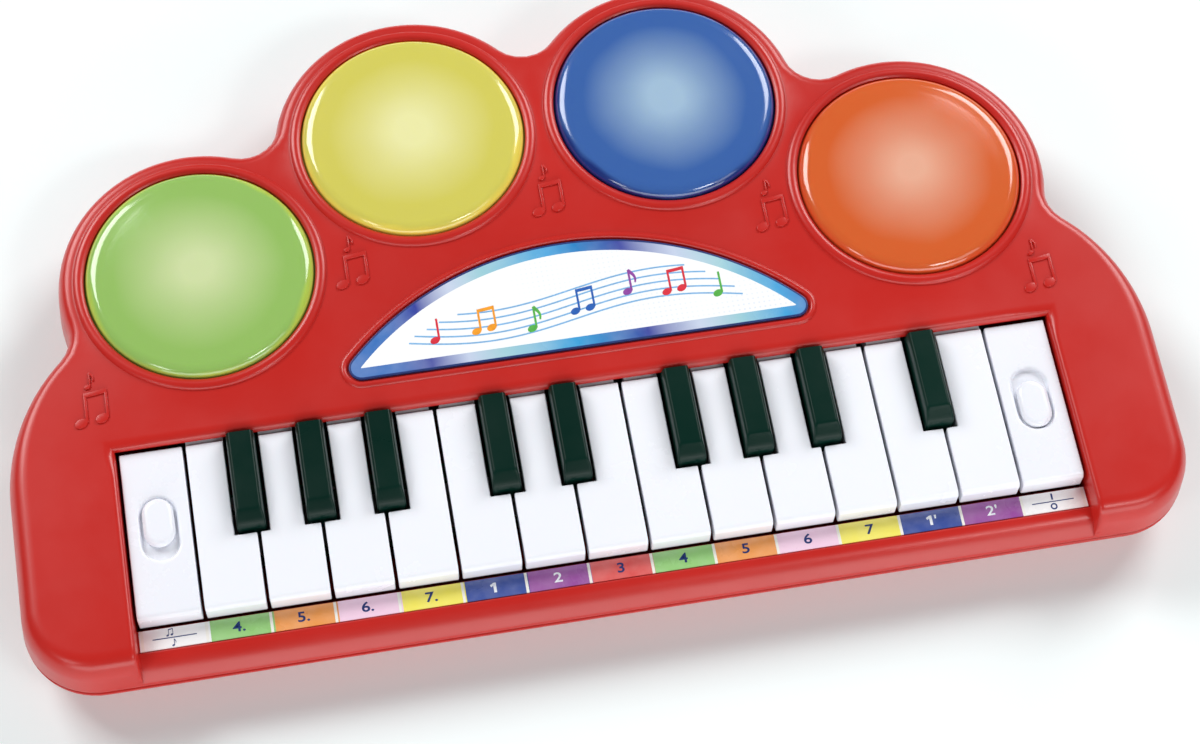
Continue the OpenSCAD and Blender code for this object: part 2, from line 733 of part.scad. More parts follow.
module speaker_cone() {
    color("black")
        speaker_turned([[0, 6.5], [5, 6.5], [7, 9.2], [13, 8.6], [19.6, 4.6], [20.6, 4.6], [20.6, 5.0],
                        [14, 9.6], [7, 10], [5, 7.5], [0, 7.5]]);
}
module speaker_magnet() {
    color("gray")
        speaker_turned([[0, 11.4], [13, 11.4], [13.5, 11.9], [13.5, 16.5], [13, 17], [0, 17]]);
}

// ---- Battery contacts ----
// Cell k lies along X; its spring is on the left wall for the outer two and on the right for the middle
function cell_y(k) = (bay_low[1] + bay_high[1]) / 2 + (k - 1) * cell_pitch;
function spring_side(k) = k == 1 ? 1 : -1;
function wall_x(side) = side > 0 ? bay_high[0] : bay_low[0];
contact_z = 11;
module contact_turned(side, y, points) {
    translate([wall_x(side), y, contact_z])
        rotate([0, -side * 90, 0])
            rotate_extrude($fn = 48)
                polygon(points);
}
module battery_contact_springs() {
    color("silver")
        for (k = [0:2])
            contact_turned(spring_side(k), cell_y(k),
                [[0, 0], [5, 0], [5, 0.4], [4.6, 0.4], [4.2, 1], [4.2, 1.6], [3.6, 1.8], [3.6, 2.4],
                 [3, 2.6], [3, 3.3], [2.2, 3.3], [2.2, 0.6], [0, 0.6]]);
}
module battery_contact_plates() {
    color("silver")
        for (k = [0:2])
            contact_turned(-spring_side(k), cell_y(k), [[0, 0], [5.5, 0], [5.5, 0.4], [2.4, 0.4], [1.8, 1.4], [0, 1.4]]);
}

upper_shell();
lower_shell();
battery_door();
battery_door_screw();
case_screws();
rubber_feet();
badge_plate();
note_strip();
for (i = [1:white_count])
    white_key(i);
for (j = [1:len(black_after)])
    black_key(j - 1);
key_pivot_rod();
key_frame();
key_contact_board();
key_contact_rubber();
switch_panel(-1);  // mode_switch_panel
switch_panel(1);  // power_switch_panel
switch_knob(-1);  // mode_switch_knob
switch_knob(1);  // power_switch_knob
slide_switch(-1);  // mode_slide_switch
slide_switch(1);  // power_slide_switch
for (k = [0:3])
    pad_lens(k);
for (k = [0:3])
    pad_carrier(k);
pad_circuit_boards();
pad_leds();
pad_return_domes();
main_circuit_board();
sound_chip();
board_screws();
internal_wires();
speaker_frame();
speaker_cone();
speaker_magnet();
battery_contact_springs();
battery_contact_plates();
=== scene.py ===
"""Toy electronic keyboard: its finished surfaces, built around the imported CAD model.

Mesh code works in millimetres, in the frame's axes, and Form.piece() scales the result to metres.
"""
import json
import math

import bmesh
import bpy
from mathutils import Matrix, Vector
from mathutils.geometry import delaunay_2d_cdt


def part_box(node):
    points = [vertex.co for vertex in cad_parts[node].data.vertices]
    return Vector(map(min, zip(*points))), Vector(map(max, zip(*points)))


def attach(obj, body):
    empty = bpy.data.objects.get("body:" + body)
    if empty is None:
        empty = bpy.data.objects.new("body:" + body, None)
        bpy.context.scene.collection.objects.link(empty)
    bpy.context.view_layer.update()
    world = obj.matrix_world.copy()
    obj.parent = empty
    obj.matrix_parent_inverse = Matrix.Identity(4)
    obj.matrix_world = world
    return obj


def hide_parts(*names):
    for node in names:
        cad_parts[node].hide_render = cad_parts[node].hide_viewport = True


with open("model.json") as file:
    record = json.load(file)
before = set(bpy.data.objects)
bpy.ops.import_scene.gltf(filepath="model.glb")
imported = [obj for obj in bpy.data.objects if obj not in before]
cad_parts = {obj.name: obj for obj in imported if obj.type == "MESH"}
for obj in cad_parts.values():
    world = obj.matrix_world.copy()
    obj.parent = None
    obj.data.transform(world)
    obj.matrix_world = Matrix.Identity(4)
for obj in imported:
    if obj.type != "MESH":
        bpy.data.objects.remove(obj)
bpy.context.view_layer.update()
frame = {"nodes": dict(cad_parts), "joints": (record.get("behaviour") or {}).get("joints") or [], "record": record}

MM = 0.001
WELD = 0.002
TINY = 0.0001                        # a point on an axis still needs a radius
SCENE = bpy.context.scene


def box_mm(node):
    """Lowest and highest corner of a CAD node, in millimetres."""
    low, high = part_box(node)
    return low / MM, high / MM


def middle(node):
    """Plan centre of a CAD node, in millimetres."""
    low, high = box_mm(node)
    return ((low.x + high.x) / 2, (low.y + high.y) / 2)


# ---------------------------------------------------------------- sizes read from the frame
shell_low, shell_high = box_mm("upper_shell")
first_key_low, first_key_high = box_mm("white_key_01")
strip_low, strip_high = box_mm("note_strip")
black_low, black_high = box_mm("black_key_01")
badge_low, badge_high = box_mm("badge_plate")
lens_low, lens_high = box_mm("pad_lens_blue")

WHITE_COUNT = 13
BLACK_COUNT = 9
KEY_GAP = 1.1
PITCH = (box_mm("white_key_13")[1].x - first_key_low.x + KEY_GAP) / WHITE_COUNT
KEY_FRONT = first_key_low.y
KEY_TOP = first_key_high.z
KEY_SKIRT = 20.0
PANEL_TUCK = 5                       # how far a switch panel runs on under the case
KEY_BACK = box_mm("power_switch_panel")[1].y - PANEL_TUCK
PAD_COLOURS = ("green", "yellow", "blue", "orange")
PADS = [middle("pad_lens_" + colour) for colour in PAD_COLOURS]

# ---------------------------------------------------------------- sizes of the case
PARTING_Z = shell_low.z
TOP_Z = 30.0
PLATE = 2.5
CEILING_Z = TOP_Z - PLATE
CASE_FRONT = shell_low.y
HALF_WIDTH = shell_high.x
CORNER_R = 22.8
LOBE_R = 45.2
NOTCH_R = 9.5
SHOULDER_R = 3.2 * PITCH
SHOULDER = (HALF_WIDTH - SHOULDER_R, KEY_FRONT + 2.3 * PITCH)
CORNER = (HALF_WIDTH - CORNER_R, CASE_FRONT + CORNER_R)
DRAFT = 0.108
SLOT_HALF = 7.5 * PITCH + 1.4
SLOT_FRONT = KEY_FRONT - 1
SLOT_BACK = KEY_BACK + 0.8
SKIRT = 2.0
SKIRT_Z = 15.0
LEDGE_Z = strip_low.z
LEDGE_UNDER = LEDGE_Z - 2
LIP_Z = strip_high.z + 0.2
LEDGE_START_Z = LEDGE_Z - 4.6
INNER_INSET = 3.2
CEILING_INSET = 5.2
INNER_TURN_Z = 24.0                  # above it the inner wall leans in to the ceiling
WELL_R = 35.5
BEAD_FOOT_R = WELL_R + 3.55
BEAD_TOP = shell_high.z
PAD_SIDES = 128
ON_LEVEL = 0.001                     # points closer than this in height or depth are on one level


# ---------------------------------------------------------------- mesh building
def within(p, loop):
    """Whether a plan point lies inside a loop of points."""
    xs, ys = [q[0] for q in loop], [q[1] for q in loop]
    if not (min(xs) < p[0] < max(xs) and min(ys) < p[1] < max(ys)):
        return False
    odd = False
    for i, a in enumerate(loop):
        b = loop[i - 1]
        if (a[1] > p[1]) != (b[1] > p[1]) and p[0] < a[0] + (p[1] - a[1]) * (b[0] - a[0]) / (b[1] - a[1]):
            odd = not odd
    return odd


class Form:
    """Vertices and faces in millimetres, welded into one closed mesh at the end."""

    def __init__(self):
        self.points = []
        self.faces = []
        self.marks = []
        self.mark = 0

    def face(self, ids):
        self.faces.append(ids)
        self.marks.append(self.mark)

    def add(self, points):
        """Adds points and returns their numbers."""
        start = len(self.points)
        self.points.extend(tuple(p) for p in points)
        return list(range(start, len(self.points)))

    def strip(self, a, b, closed=True):
        """Quads between two rows of the same length."""
        count = len(a)
        for i in range(count if closed else count - 1):
            j = (i + 1) % count
            self.face((a[i], a[j], b[j], b[i]))

    def skin(self, rows, closed=True):
        """Quads over a stack of rows of points. Returns the rows' numbers."""
        ids = [self.add(row) for row in rows]
        for a, b in zip(ids, ids[1:]):
            self.strip(a, b, closed)
        return ids

    def cup(self, loop, mouth_z, end_z):
        """A plan loop's wall from mouth_z to end_z, shut at end_z."""
        self.skin([at(loop, mouth_z), at(loop, end_z)])
        self.flat(at(loop, end_z))

    def solid(self, rows):
        """A stack of rows, shut at both ends."""
        self.skin(rows)
        self.flat(rows[0])
        self.flat(rows[-1])

    def flat(self, outer, holes=(), axes=(0, 1)):
        """Fills the flat area between an outer loop of points and any holes."""
        loops = [outer, *holes]
        spots = [p for loop in loops for p in loop]
        fixed = next(a for a in range(3) if a not in axes)
        level = spots[0][fixed]
        edges, start = [], 0
        for loop in loops:
            n = len(loop)
            edges += [(start + i, start + (i + 1) % n) for i in range(n)]
            start += n
        plan = [Vector((p[axes[0]], p[axes[1]])) for p in spots]
        made, _, triangles, *_ = delaunay_2d_cdt(plan, edges, [], 1, 1e-5)
        openings = [[(p[axes[0]], p[axes[1]]) for p in hole] for hole in holes]
        lifted = []
        for v in made:
            p = [level] * 3
            p[axes[0]], p[axes[1]] = v.x, v.y
            lifted.append(p)
        ids = self.add(lifted)
        for t in triangles:
            centre = sum((made[i] for i in t), Vector((0, 0))) / 3
            if not any(within(centre, opening) for opening in openings):
                self.face(tuple(ids[i] for i in t))

    def pour(self, bm):
        """Adds the form to a bmesh, welded within itself. A face that is there already is left out."""
        fresh = [bm.verts.new(p) for p in self.points]
        for ids, mark in zip(self.faces, self.marks):
            try:
                made = bm.faces.new([fresh[i] for i in ids])
            except ValueError:
                continue
            made.material_index = mark
        bmesh.ops.remove_doubles(bm, verts=fresh, dist=WELD)

    def piece(self, name, body, materials, replaces=(), smooth=40):
        """Makes the object from the form alone, without slivers or loose ends."""
        bm = bmesh.new()
        self.pour(bm)
        bmesh.ops.dissolve_degenerate(bm, edges=bm.edges, dist=WELD / 2)
        bmesh.ops.delete(bm, geom=[e for e in bm.edges if not e.link_faces], context="EDGES")
        bmesh.ops.delete(bm, geom=[v for v in bm.verts if not v.link_faces], context="VERTS")
        finish_piece(bm, name, body, materials, replaces, smooth)


def finish_piece(bm, name, body, materials, replaces=(), smooth=40, weighted=False):
    """Turns a bmesh in millimetres into a riding object: facing outwards, smooth where its faces meet at
    less than smooth degrees."""
    bmesh.ops.recalc_face_normals(bm, faces=bm.faces)
    bmesh.ops.scale(bm, vec=(MM, MM, MM), verts=bm.verts)
    for f in bm.faces:
        f.smooth = True
    mesh = bpy.data.meshes.new(name)
    bm.to_mesh(mesh)
    bm.free()
    mesh.set_sharp_from_angle(angle=math.radians(smooth))
    obj = bpy.data.objects.new(name, mesh)
    SCENE.collection.objects.link(obj)
    for m in materials if isinstance(materials, (list, tuple)) else [materials]:
        mesh.materials.append(m)
    if weighted:
        modifier = obj.modifiers.new("even_flats", "WEIGHTED_NORMAL")
        modifier.mode = "FACE_AREA"
        modifier.keep_sharp = True
    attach(obj, body)
    if replaces:
        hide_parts(*replaces)


def at(points, z):
    """Plan points lifted to height z."""
    return [(p[0], p[1], z) for p in points]


def on_circle(centre, radius, angle):
    """Plan point at an angle in radians."""
    return (centre[0] + radius * math.cos(angle), centre[1] + radius * math.sin(angle))


def circle(centre, radius, count=48):
    return [on_circle(centre, radius, 2 * math.pi * i / count) for i in range(count)]


def stadium(centre, width, length, count=12):
    """Round-ended slot along Y."""
    r, run = width / 2, (length - width) / 2
    up = [(centre[0] + r * math.cos(math.pi * i / count), centre[1] + run + r * math.sin(math.pi * i / count))
          for i in range(count + 1)]
    down = [(2 * centre[0] - x, 2 * centre[1] - y) for x, y in up]
    return up + down


def grown(points, amount):
    """A counter-clockwise polygon moved outwards by amount, its corners kept sharp."""
    moved = []
    for i, p in enumerate(points):
        before, after = points[i - 1], points[(i + 1) % len(points)]
        a = Vector((p[0] - before[0], p[1] - before[1])).normalized()
        b = Vector((after[0] - p[0], after[1] - p[1])).normalized()
        normal_a, normal_b = Vector((a.y, -a.x)), Vector((b.y, -b.x))
        mitre = (normal_a + normal_b) / max(0.2, 1 + normal_a.dot(normal_b))
        moved.append((p[0] + mitre.x * amount, p[1] + mitre.y * amount))
    return moved


def rounding(radius, steps=4):
    """Steps of a quarter round: how far in, and how far below the top."""
    turns = [math.pi / 2 * i / steps for i in range(steps + 1)]
    return [(radius * (1 - math.cos(t)), radius * (1 - math.sin(t))) for t in turns]


def bezier(p0, p1, p2, p3, t):
    s = 1 - t
    return tuple(s ** 3 * a + 3 * s * s * t * b + 3 * s * t * t * c + t ** 3 * d
                 for a, b, c, d in zip(p0, p1, p2, p3))


def ease(t):
    t = min(1, max(0, t))
    return t * t * (3 - 2 * t)


def turned(form, centre, profile, count=96):
    """Skin round a vertical axis through centre; a profile point at radius 0 closes the form."""
    form.skin([at(circle(centre, max(r, TINY), count), z) for r, z in profile])


# ---------------------------------------------------------------- outline of the case
def bearing(a, b):
    return math.degrees(math.atan2(b[1] - a[1], b[0] - a[0]))


def notch_centre(c1, r1, c2, r2):
    """Centre of the hollow that touches two circles, on the right of the line between them."""
    a, b = Vector(c1), Vector(c2)
    gap = (b - a).length
    ra, rb = r1 + NOTCH_R, r2 + NOTCH_R
    along = (ra * ra - rb * rb + gap * gap) / (2 * gap)
    across = math.sqrt(ra * ra - along * along)
    u = (b - a) / gap
    return tuple(a + along * u + across * Vector((u.y, -u.x)))


STATION_STEP = 2.4


def arc_stations(centre, radius, start, end, bulges, spread=None):
    """Stations along an arc: centre, radius, direction, sign of an inset, share of the top rounding."""
    steps = max(3, round(abs(math.radians(end - start)) * radius / STATION_STEP))
    return [(centre, radius, start + (end - start) * i / steps, 1 if bulges else -1,
             spread(i / steps) if spread else 1.0) for i in range(1, steps + 1)]


FRONT_SPREAD = 1.45


def right_stations():
    """Right half of the outline from the cheek's inner edge to the middle of the back."""
    pad_3, pad_4 = PADS[2], PADS[3]
    notch_1 = notch_centre(SHOULDER, SHOULDER_R, pad_4, LOBE_R)
    notch_2 = notch_centre(pad_4, LOBE_R, pad_3, LOBE_R)
    notch_3 = notch_centre(pad_3, LOBE_R, PADS[1], LOBE_R)
    start_x = SLOT_HALF + SKIRT
    front = [((start_x + (CORNER[0] - start_x) * i / 4, CASE_FRONT), 0, -90, 1, FRONT_SPREAD)
             for i in range(5)]
    out = front + arc_stations(CORNER, CORNER_R, -90, 0, True, lambda t: FRONT_SPREAD)
    out.append((SHOULDER, SHOULDER_R, 0, 1, FRONT_SPREAD))
    end = bearing(SHOULDER, notch_1)
    out += arc_stations(SHOULDER, SHOULDER_R, 0, end, True,
                        lambda t: FRONT_SPREAD + (1 - FRONT_SPREAD) * ease(t * 1.1))
    turns = ((notch_1, SHOULDER, pad_4), (notch_2, pad_4, pad_3))
    for k, (centre, last, nxt) in enumerate(turns):
        a0, a1 = bearing(centre, last), bearing(centre, nxt)
        a1 = a0 - (a0 - a1) % 360
        out += arc_stations(centre, NOTCH_R, a0, a1, False)
        following = (notch_2, notch_3)[k]
        b0, b1 = bearing(nxt, centre), bearing(nxt, following)
        b1 = b0 + (b1 - b0) % 360
        out += arc_stations(nxt, LOBE_R, b0, b1, True)
    a0 = bearing(notch_3, pad_3)
    a1 = a0 - (a0 + 90) % 360
    return out + arc_stations(notch_3, NOTCH_R, a0, a1, False)


def mirrored_station(s):
    centre, radius, turn, sign, spread = s
    return ((-centre[0], centre[1]), radius, 180 - turn, sign, spread)


RIGHT = right_stations()
ROUND = RIGHT + [mirrored_station(s) for s in reversed(RIGHT[:-1])]
MIDDLE_STEPS = 24
MIDDLE_X = [-SLOT_HALF + 2 * SLOT_HALF * i / MIDDLE_STEPS for i in range(MIDDLE_STEPS + 1)]
FRONT_MIDDLE = [((x, CASE_FRONT), 0, -90, 1, FRONT_SPREAD) for x in MIDDLE_X]
AROUND = ROUND + FRONT_MIDDLE


def place(station, inset, base=None):
    """Plan point of a station at an inset; what goes beyond base is widened by the station's share."""
    centre, radius, turn, sign, spread = station
    if base is not None and inset > base:
        inset = base + (inset - base) * spread
    return on_circle(centre, radius - sign * inset, math.radians(turn))


def ring(stations, inset, z, base=None):
    return at([place(s, inset, base) for s in stations], z)


# ---------------------------------------------------------------- upper shell
def side_draft(z):
    return DRAFT * (z - PARTING_Z)


ROUND_START_Z = 23.5
TOP_INSET = 5.4
TOP_RIM = TOP_INSET + 0.3            # the flat top starts here
MID_SIDE_Z = 14.9
FADE_LOW, FADE_HIGH = 18.6, 22.3     # the rounding of the slot's edge grows between these heights
LOW_LEVELS = [(1.2, PARTING_Z), (1.15, PARTING_Z + 0.35), (0.62, PARTING_Z + 0.42), (0.45, PARTING_Z + 0.65),
              (0.4, PARTING_Z + 1.0)] + [(side_draft(z), z) for z in (MID_SIDE_Z, LEDGE_START_Z)]
ROUND_CURVE = ((side_draft(ROUND_START_Z), ROUND_START_Z), (1.55, 27.3), (2.6, TOP_Z), (TOP_INSET, TOP_Z))
HIGH_LEVELS = ([(side_draft(z), z) for z in (16.8, 17.9, 19.0, LEDGE_Z, 21.2, FADE_HIGH, ROUND_START_Z)]
               + [bezier(*ROUND_CURVE, i / 12) for i in range(1, 13)] + [(TOP_RIM, TOP_Z)])
EDGE_WIDE, EDGE_DEEP = 1.5, 1.3
BACK_WIDE, BACK_DEEP = 3.0, 2.3
EDGE_TURNS = [math.pi / 2 * i / 5 for i in range(6)]
BACK_TURN = 9                        # the edge widens over this length before the back corner


def level_base(z):
    """Inset past which a level of the outline is widened at the front: none below the rounding."""
    return side_draft(ROUND_START_Z) if z > ROUND_START_Z - 0.01 else math.inf


def edge_path():
    """The slot's upper edge on its right half: point, outward direction, direction into the wall,
    width, depth and growth of its rounding."""
    path = []
    spots = [(place(FRONT_MIDDLE[-1], d, level_base(z))[1], z) for d, z in [LOW_LEVELS[-1]] + HIGH_LEVELS]
    for k, (y, z) in enumerate(spots):
        before, after = spots[max(k - 1, 0)], spots[min(k + 1, len(spots) - 1)]
        run = Vector((after[0] - before[0], after[1] - before[1])).normalized()
        grow = ease((z - FADE_LOW) / (FADE_HIGH - FADE_LOW))
        path.append(((SLOT_HALF, y, z), (1, 0, 0), (0, run.y, -run.x), EDGE_WIDE, EDGE_DEEP, grow))
    front_y = spots[-1][0]
    turn_y = SLOT_BACK - BACK_TURN
    for i in range(1, 8):
        y = front_y + (turn_y - front_y) * i / 7
        path.append(((SLOT_HALF, y, TOP_Z), (1, 0, 0), (0, 0, -1), EDGE_WIDE, EDGE_DEEP, 1))
    for i in range(1, 6):
        g = ease(i / 5)
        y = turn_y + (SLOT_BACK - turn_y) * i / 5
        out = (1, 1, 0) if i == 5 else (1, 0, 0)
        wide = EDGE_WIDE + (BACK_WIDE - EDGE_WIDE) * g
        deep = EDGE_DEEP + (BACK_DEEP - EDGE_DEEP) * g
        path.append(((SLOT_HALF, y, TOP_Z), out, (0, 0, -1), wide, deep, 1))
    for i in range(1, MIDDLE_STEPS // 2 + 1):
        x = SLOT_HALF * (1 - 2 * i / MIDDLE_STEPS)
        path.append(((x, SLOT_BACK, TOP_Z), (0, 1, 0), (0, 0, -1), BACK_WIDE, BACK_DEEP, 1))
    return path


def edge_rows(path):
    """Rows of points along the slot's edge, from its wall to just beyond the rounding."""
    rows = [[tuple(Vector(p) + Vector(o) * wide * grow * (1 - math.cos(t))
                   + Vector(n) * deep * grow * (1 - math.sin(t)))
             for p, o, n, wide, deep, grow in path] for t in EDGE_TURNS]
    beyond = []
    for p, o, _, wide, _, _ in path:
        extra = SKIRT if o == (1, 0, 0) and wide <= SKIRT else wide + 0.5
        beyond.append(tuple(Vector(p) + Vector(o) * max(extra, SKIRT)))
    return rows + [beyond]


def flipped(points):
    return [(-p[0], *p[1:]) for p in points]


def well_ring_profile():
    """Raised bead round a pad's well, and the well's wall."""
    crown = []
    for i in range(11):
        rise = math.sin(math.pi * (0.08 + 0.84 * i / 10)) ** 0.6
        crown.append((WELL_R + 3.2 - 3.2 * i / 10, TOP_Z + (BEAD_TOP - TOP_Z) * rise))
    return [(BEAD_FOOT_R, TOP_Z), (WELL_R + 3.35, TOP_Z + 0.05)] + crown + [(WELL_R, TOP_Z),
                                                                            (WELL_R, CEILING_Z)]


BADGE_TIP_R = 4.0
BADGE_HALF = badge_high.x
BADGE_RISE = badge_high.y - badge_low.y
BADGE_ARCH_R = (((BADGE_HALF - BADGE_TIP_R) ** 2 + (BADGE_TIP_R - BADGE_RISE) ** 2 - BADGE_TIP_R ** 2)
                / (2 * (BADGE_RISE - 2 * BADGE_TIP_R)))
BADGE_FLOOR = badge_low.z


def badge_outline(d):
    """Half-moon with round tips, grown by d, counter-clockwise."""
    arch = (0, badge_low.y + BADGE_RISE - BADGE_ARCH_R)
    tip = (BADGE_HALF - BADGE_TIP_R, badge_low.y + BADGE_TIP_R)
    meet = bearing(arch, tip)
    right = [on_circle(tip, BADGE_TIP_R + d, math.radians(-90 + (meet + 90) * i / 8)) for i in range(9)]
    right += [on_circle(arch, BADGE_ARCH_R + d, math.radians(meet + (90 - meet) * i / 32))
              for i in range(1, 33)]
    return right + flipped(reversed(right[:-1]))


BADGE_MOAT = 3.0                     # how far the raised rim round the badge reaches
BADGE_RIM = [(BADGE_MOAT, 0), (2.7, 0), (2.5, 0.25), (2.2, 0.52), (1.75, 0.68), (1.3, 0.68), (0.95, 0.5),
             (0.7, 0.2),
             (0.6, -0.1)]            # growth of the badge's outline, height over the top
BADGE_SEAT = 0.5


def ledge_profile(start_y, start_z):
    """The ledge in front of the keys from its foot, as y and z, with a fine lip along the strip."""
    lip_y = strip_low.y - 0.25
    rise = ((start_y, start_z), (start_y + 1.8, start_z + 2.2), (start_y + 4.3, LIP_Z - 0.25),
            (lip_y - 0.9, LIP_Z - 0.1))
    return ([bezier(*rise, i / 16) for i in range(17)]
            + [(lip_y - 0.6, LIP_Z), (lip_y - 0.25, LIP_Z - 0.05), (lip_y - 0.08, LIP_Z - 0.2),
               (lip_y, LEDGE_Z),
               (SLOT_FRONT, LEDGE_Z)])


def upper_shell(materials):
    form = Form()
    form.skin([ring(AROUND, d, z, level_base(z)) for d, z in LOW_LEVELS])
    d0, z0 = LOW_LEVELS[-1]
    form.skin([ring(ROUND, d, z, level_base(z)) for d, z in [LOW_LEVELS[-1]] + HIGH_LEVELS], closed=False)
    # Rounded edge of the key slot
    half = edge_path()
    rows = edge_rows(half)
    full = [row + flipped(reversed(row[:-1])) for row in rows]
    form.skin(full, closed=False)
    ledge = ledge_profile(place(FRONT_MIDDLE[0], d0)[1], z0)
    form.skin([[(x, y, z) for x in MIDDLE_X] for y, z in ledge], closed=False)
    # Inside: walls, ledge underside, skirts beside the keys, ceiling
    inner_front = CASE_FRONT + INNER_INSET
    form.skin([ring(AROUND, LOW_LEVELS[0][0], PARTING_Z, level_base(0)),
               ring(AROUND, INNER_INSET, PARTING_Z), ring(AROUND, INNER_INSET, SKIRT_Z)])
    inner_levels = [(INNER_INSET, SKIRT_Z), (INNER_INSET, LEDGE_UNDER), (INNER_INSET, INNER_TURN_Z),
                    (CEILING_INSET, CEILING_Z)]
    form.skin([ring(ROUND, d, z) for d, z in inner_levels], closed=False)
    form.skin([[(x, y, z) for x in MIDDLE_X] for y, z in (
        (inner_front, SKIRT_Z), (inner_front, LEDGE_UNDER), (SLOT_FRONT, LEDGE_UNDER),
        (SLOT_FRONT, LEDGE_Z))],
              closed=False)
    corner = next(k for k, s in enumerate(half) if s[1] == (1, 1, 0))
    wall_loop = ([(SLOT_HALF, inner_front, SKIRT_Z), (SLOT_HALF, SLOT_BACK, SKIRT_Z),
                  (SLOT_HALF, SLOT_BACK, CEILING_Z)]
                 + [rows[0][k] for k in range(corner, -1, -1)]
                 + [(SLOT_HALF, y, z) for y, z in ledge[1:]]
                 + [(SLOT_HALF, SLOT_FRONT, LEDGE_UNDER), (SLOT_HALF, inner_front, LEDGE_UNDER)])
    outer_x = SLOT_HALF + SKIRT
    inner_loop = ([(outer_x, inner_front, SKIRT_Z), (outer_x, SLOT_BACK, SKIRT_Z),
                   (outer_x, SLOT_BACK, CEILING_Z)]
                  + [(outer_x, CASE_FRONT + d, z) for d, z in reversed(inner_levels[1:])])
    skirt_edges = (((inner_front, SKIRT_Z), (SLOT_BACK, SKIRT_Z)),
                   ((SLOT_BACK, SKIRT_Z), (SLOT_BACK, CEILING_Z)))
    for turn in (list, flipped):
        form.flat(turn(wall_loop), axes=(1, 2))
        form.flat(turn(inner_loop), axes=(1, 2))
        for edge in skirt_edges:
            form.skin([turn([(x, y, z) for y, z in edge]) for x in (SLOT_HALF, outer_x)], closed=False)
    back = [p for p in full[0] if abs(p[1] - SLOT_BACK) < ON_LEVEL]
    form.skin([back, at(back, CEILING_Z)], closed=False)
    ceiling = (ring(ROUND, CEILING_INSET, CEILING_Z) + [(-outer_x, SLOT_BACK, CEILING_Z)]
               + at(reversed(back), CEILING_Z) + [(outer_x, SLOT_BACK, CEILING_Z)])
    form.flat(ceiling, [at(circle(c, WELL_R, PAD_SIDES), CEILING_Z) for c in PADS])
    # Flat top between the outer rounding, the slot's edge, the wells and the badge
    top_outer = ring(ROUND, TOP_RIM, TOP_Z, level_base(TOP_Z))
    flat_edge = [p for p in full[-1] if abs(p[2] - TOP_Z) < ON_LEVEL / 2 and p[1] > top_outer[0][1]
                 + ON_LEVEL]
    form.flat(top_outer + list(reversed(flat_edge)),
              [at(circle(c, BEAD_FOOT_R, PAD_SIDES), TOP_Z) for c in PADS]
              + [at(badge_outline(BADGE_MOAT), TOP_Z)])
    form.skin([at(badge_outline(d), TOP_Z + h) for d, h in BADGE_RIM]
              + [at(badge_outline(BADGE_SEAT), BADGE_FLOOR)])
    form.flat(at(badge_outline(BADGE_SEAT), BADGE_FLOOR))
    for c in PADS:
        turned(form, c, well_ring_profile(), PAD_SIDES)
    form.piece("upper_case", "case", materials, ("upper_shell",))


# ---------------------------------------------------------------- lower shell
GROUND_FACE = box_mm("lower_shell")[0].z
FLOOR_TOP = GROUND_FACE + 2
SCREW_SPOTS = ([(s * x, y) for s in (-1, 1) for x, y in ((158, -85), (148, -12), (81.6, 49.4))]
               + [(0, 68.5), (6, 5)])
SCREW_HEAD_R, SCREW_SEAT_Z, SCREW_BORE_R, SCREW_BORE_Z = 3.3, 8, 1.7, 15
BOSS_R, BOSS_TOP = 4.4, 16
FOOT_SPOTS = [(-148, -74), (148, -74), (-96, 42), (96, 42)]
FOOT_SEAT_R, FOOT_SEAT_Z = 6.1, GROUND_FACE + 1
SPEAKER = middle("speaker_frame")
GRILLE_STEP, GRILLE_R = 6, 1.5
BAY_LOW, BAY_HIGH, BAY_ROOF, BAY_WALL = (-69.4, -18.8), (-10.6, 26.0), 18.8, 1.6
DOOR_SCREW = middle("battery_door_screw")
DOOR_SCREW_WELL_R, DOOR_SCREW_WELL_Z = 2.5, 9.5
TONGUE_HALF = 6.0
HINGE_IN = 0.9                       # the hinge's axis, from the door's edge and from its outer face
HINGE = (box_mm("battery_door")[0].x + HINGE_IN, GROUND_FACE + HINGE_IN)
HINGE_PIN_R = 0.7
BASE_CURVE = ((0.14, 12.3), (1.7, 8.2), (5.0, GROUND_FACE), (10.6, GROUND_FACE))
FLOOR_INSET = 11.0
BASE_LEVELS = ([(1.2, PARTING_Z), (1.15, PARTING_Z - 0.45), (0.35, PARTING_Z - 0.55), (0.18, PARTING_Z - 0.7),
                (0.12, PARTING_Z - 0.95)]
               + [bezier(*BASE_CURVE, i / 12) for i in range(13)] + [(FLOOR_INSET, GROUND_FACE)])
BASE_INSIDE = ((BASE_LEVELS[0][0], PARTING_Z), (4.8, PARTING_Z), (4.8, 8), (7.8, 5.6),
               (FLOOR_INSET, FLOOR_TOP))


def sunk_hole(form, centre, radius, wall, count=32):
    """A round hole in the bottom face: rounded lip, then its wall. Returns the loop it leaves."""
    lip = 0.25
    profile = [(radius + lip, GROUND_FACE), (radius + lip * 0.3, GROUND_FACE + lip * 0.3),
               (radius, GROUND_FACE + lip)]
    turned(form, centre, profile + wall, count)
    return at(circle(centre, radius + lip, count), GROUND_FACE)


def tongue_span(gap):
    """The door tongue's two sides and its end, smaller by gap."""
    x, y = DOOR_SCREW[:2]
    return y - TONGUE_HALF + gap, y + TONGUE_HALF - gap, x + TONGUE_HALF - gap


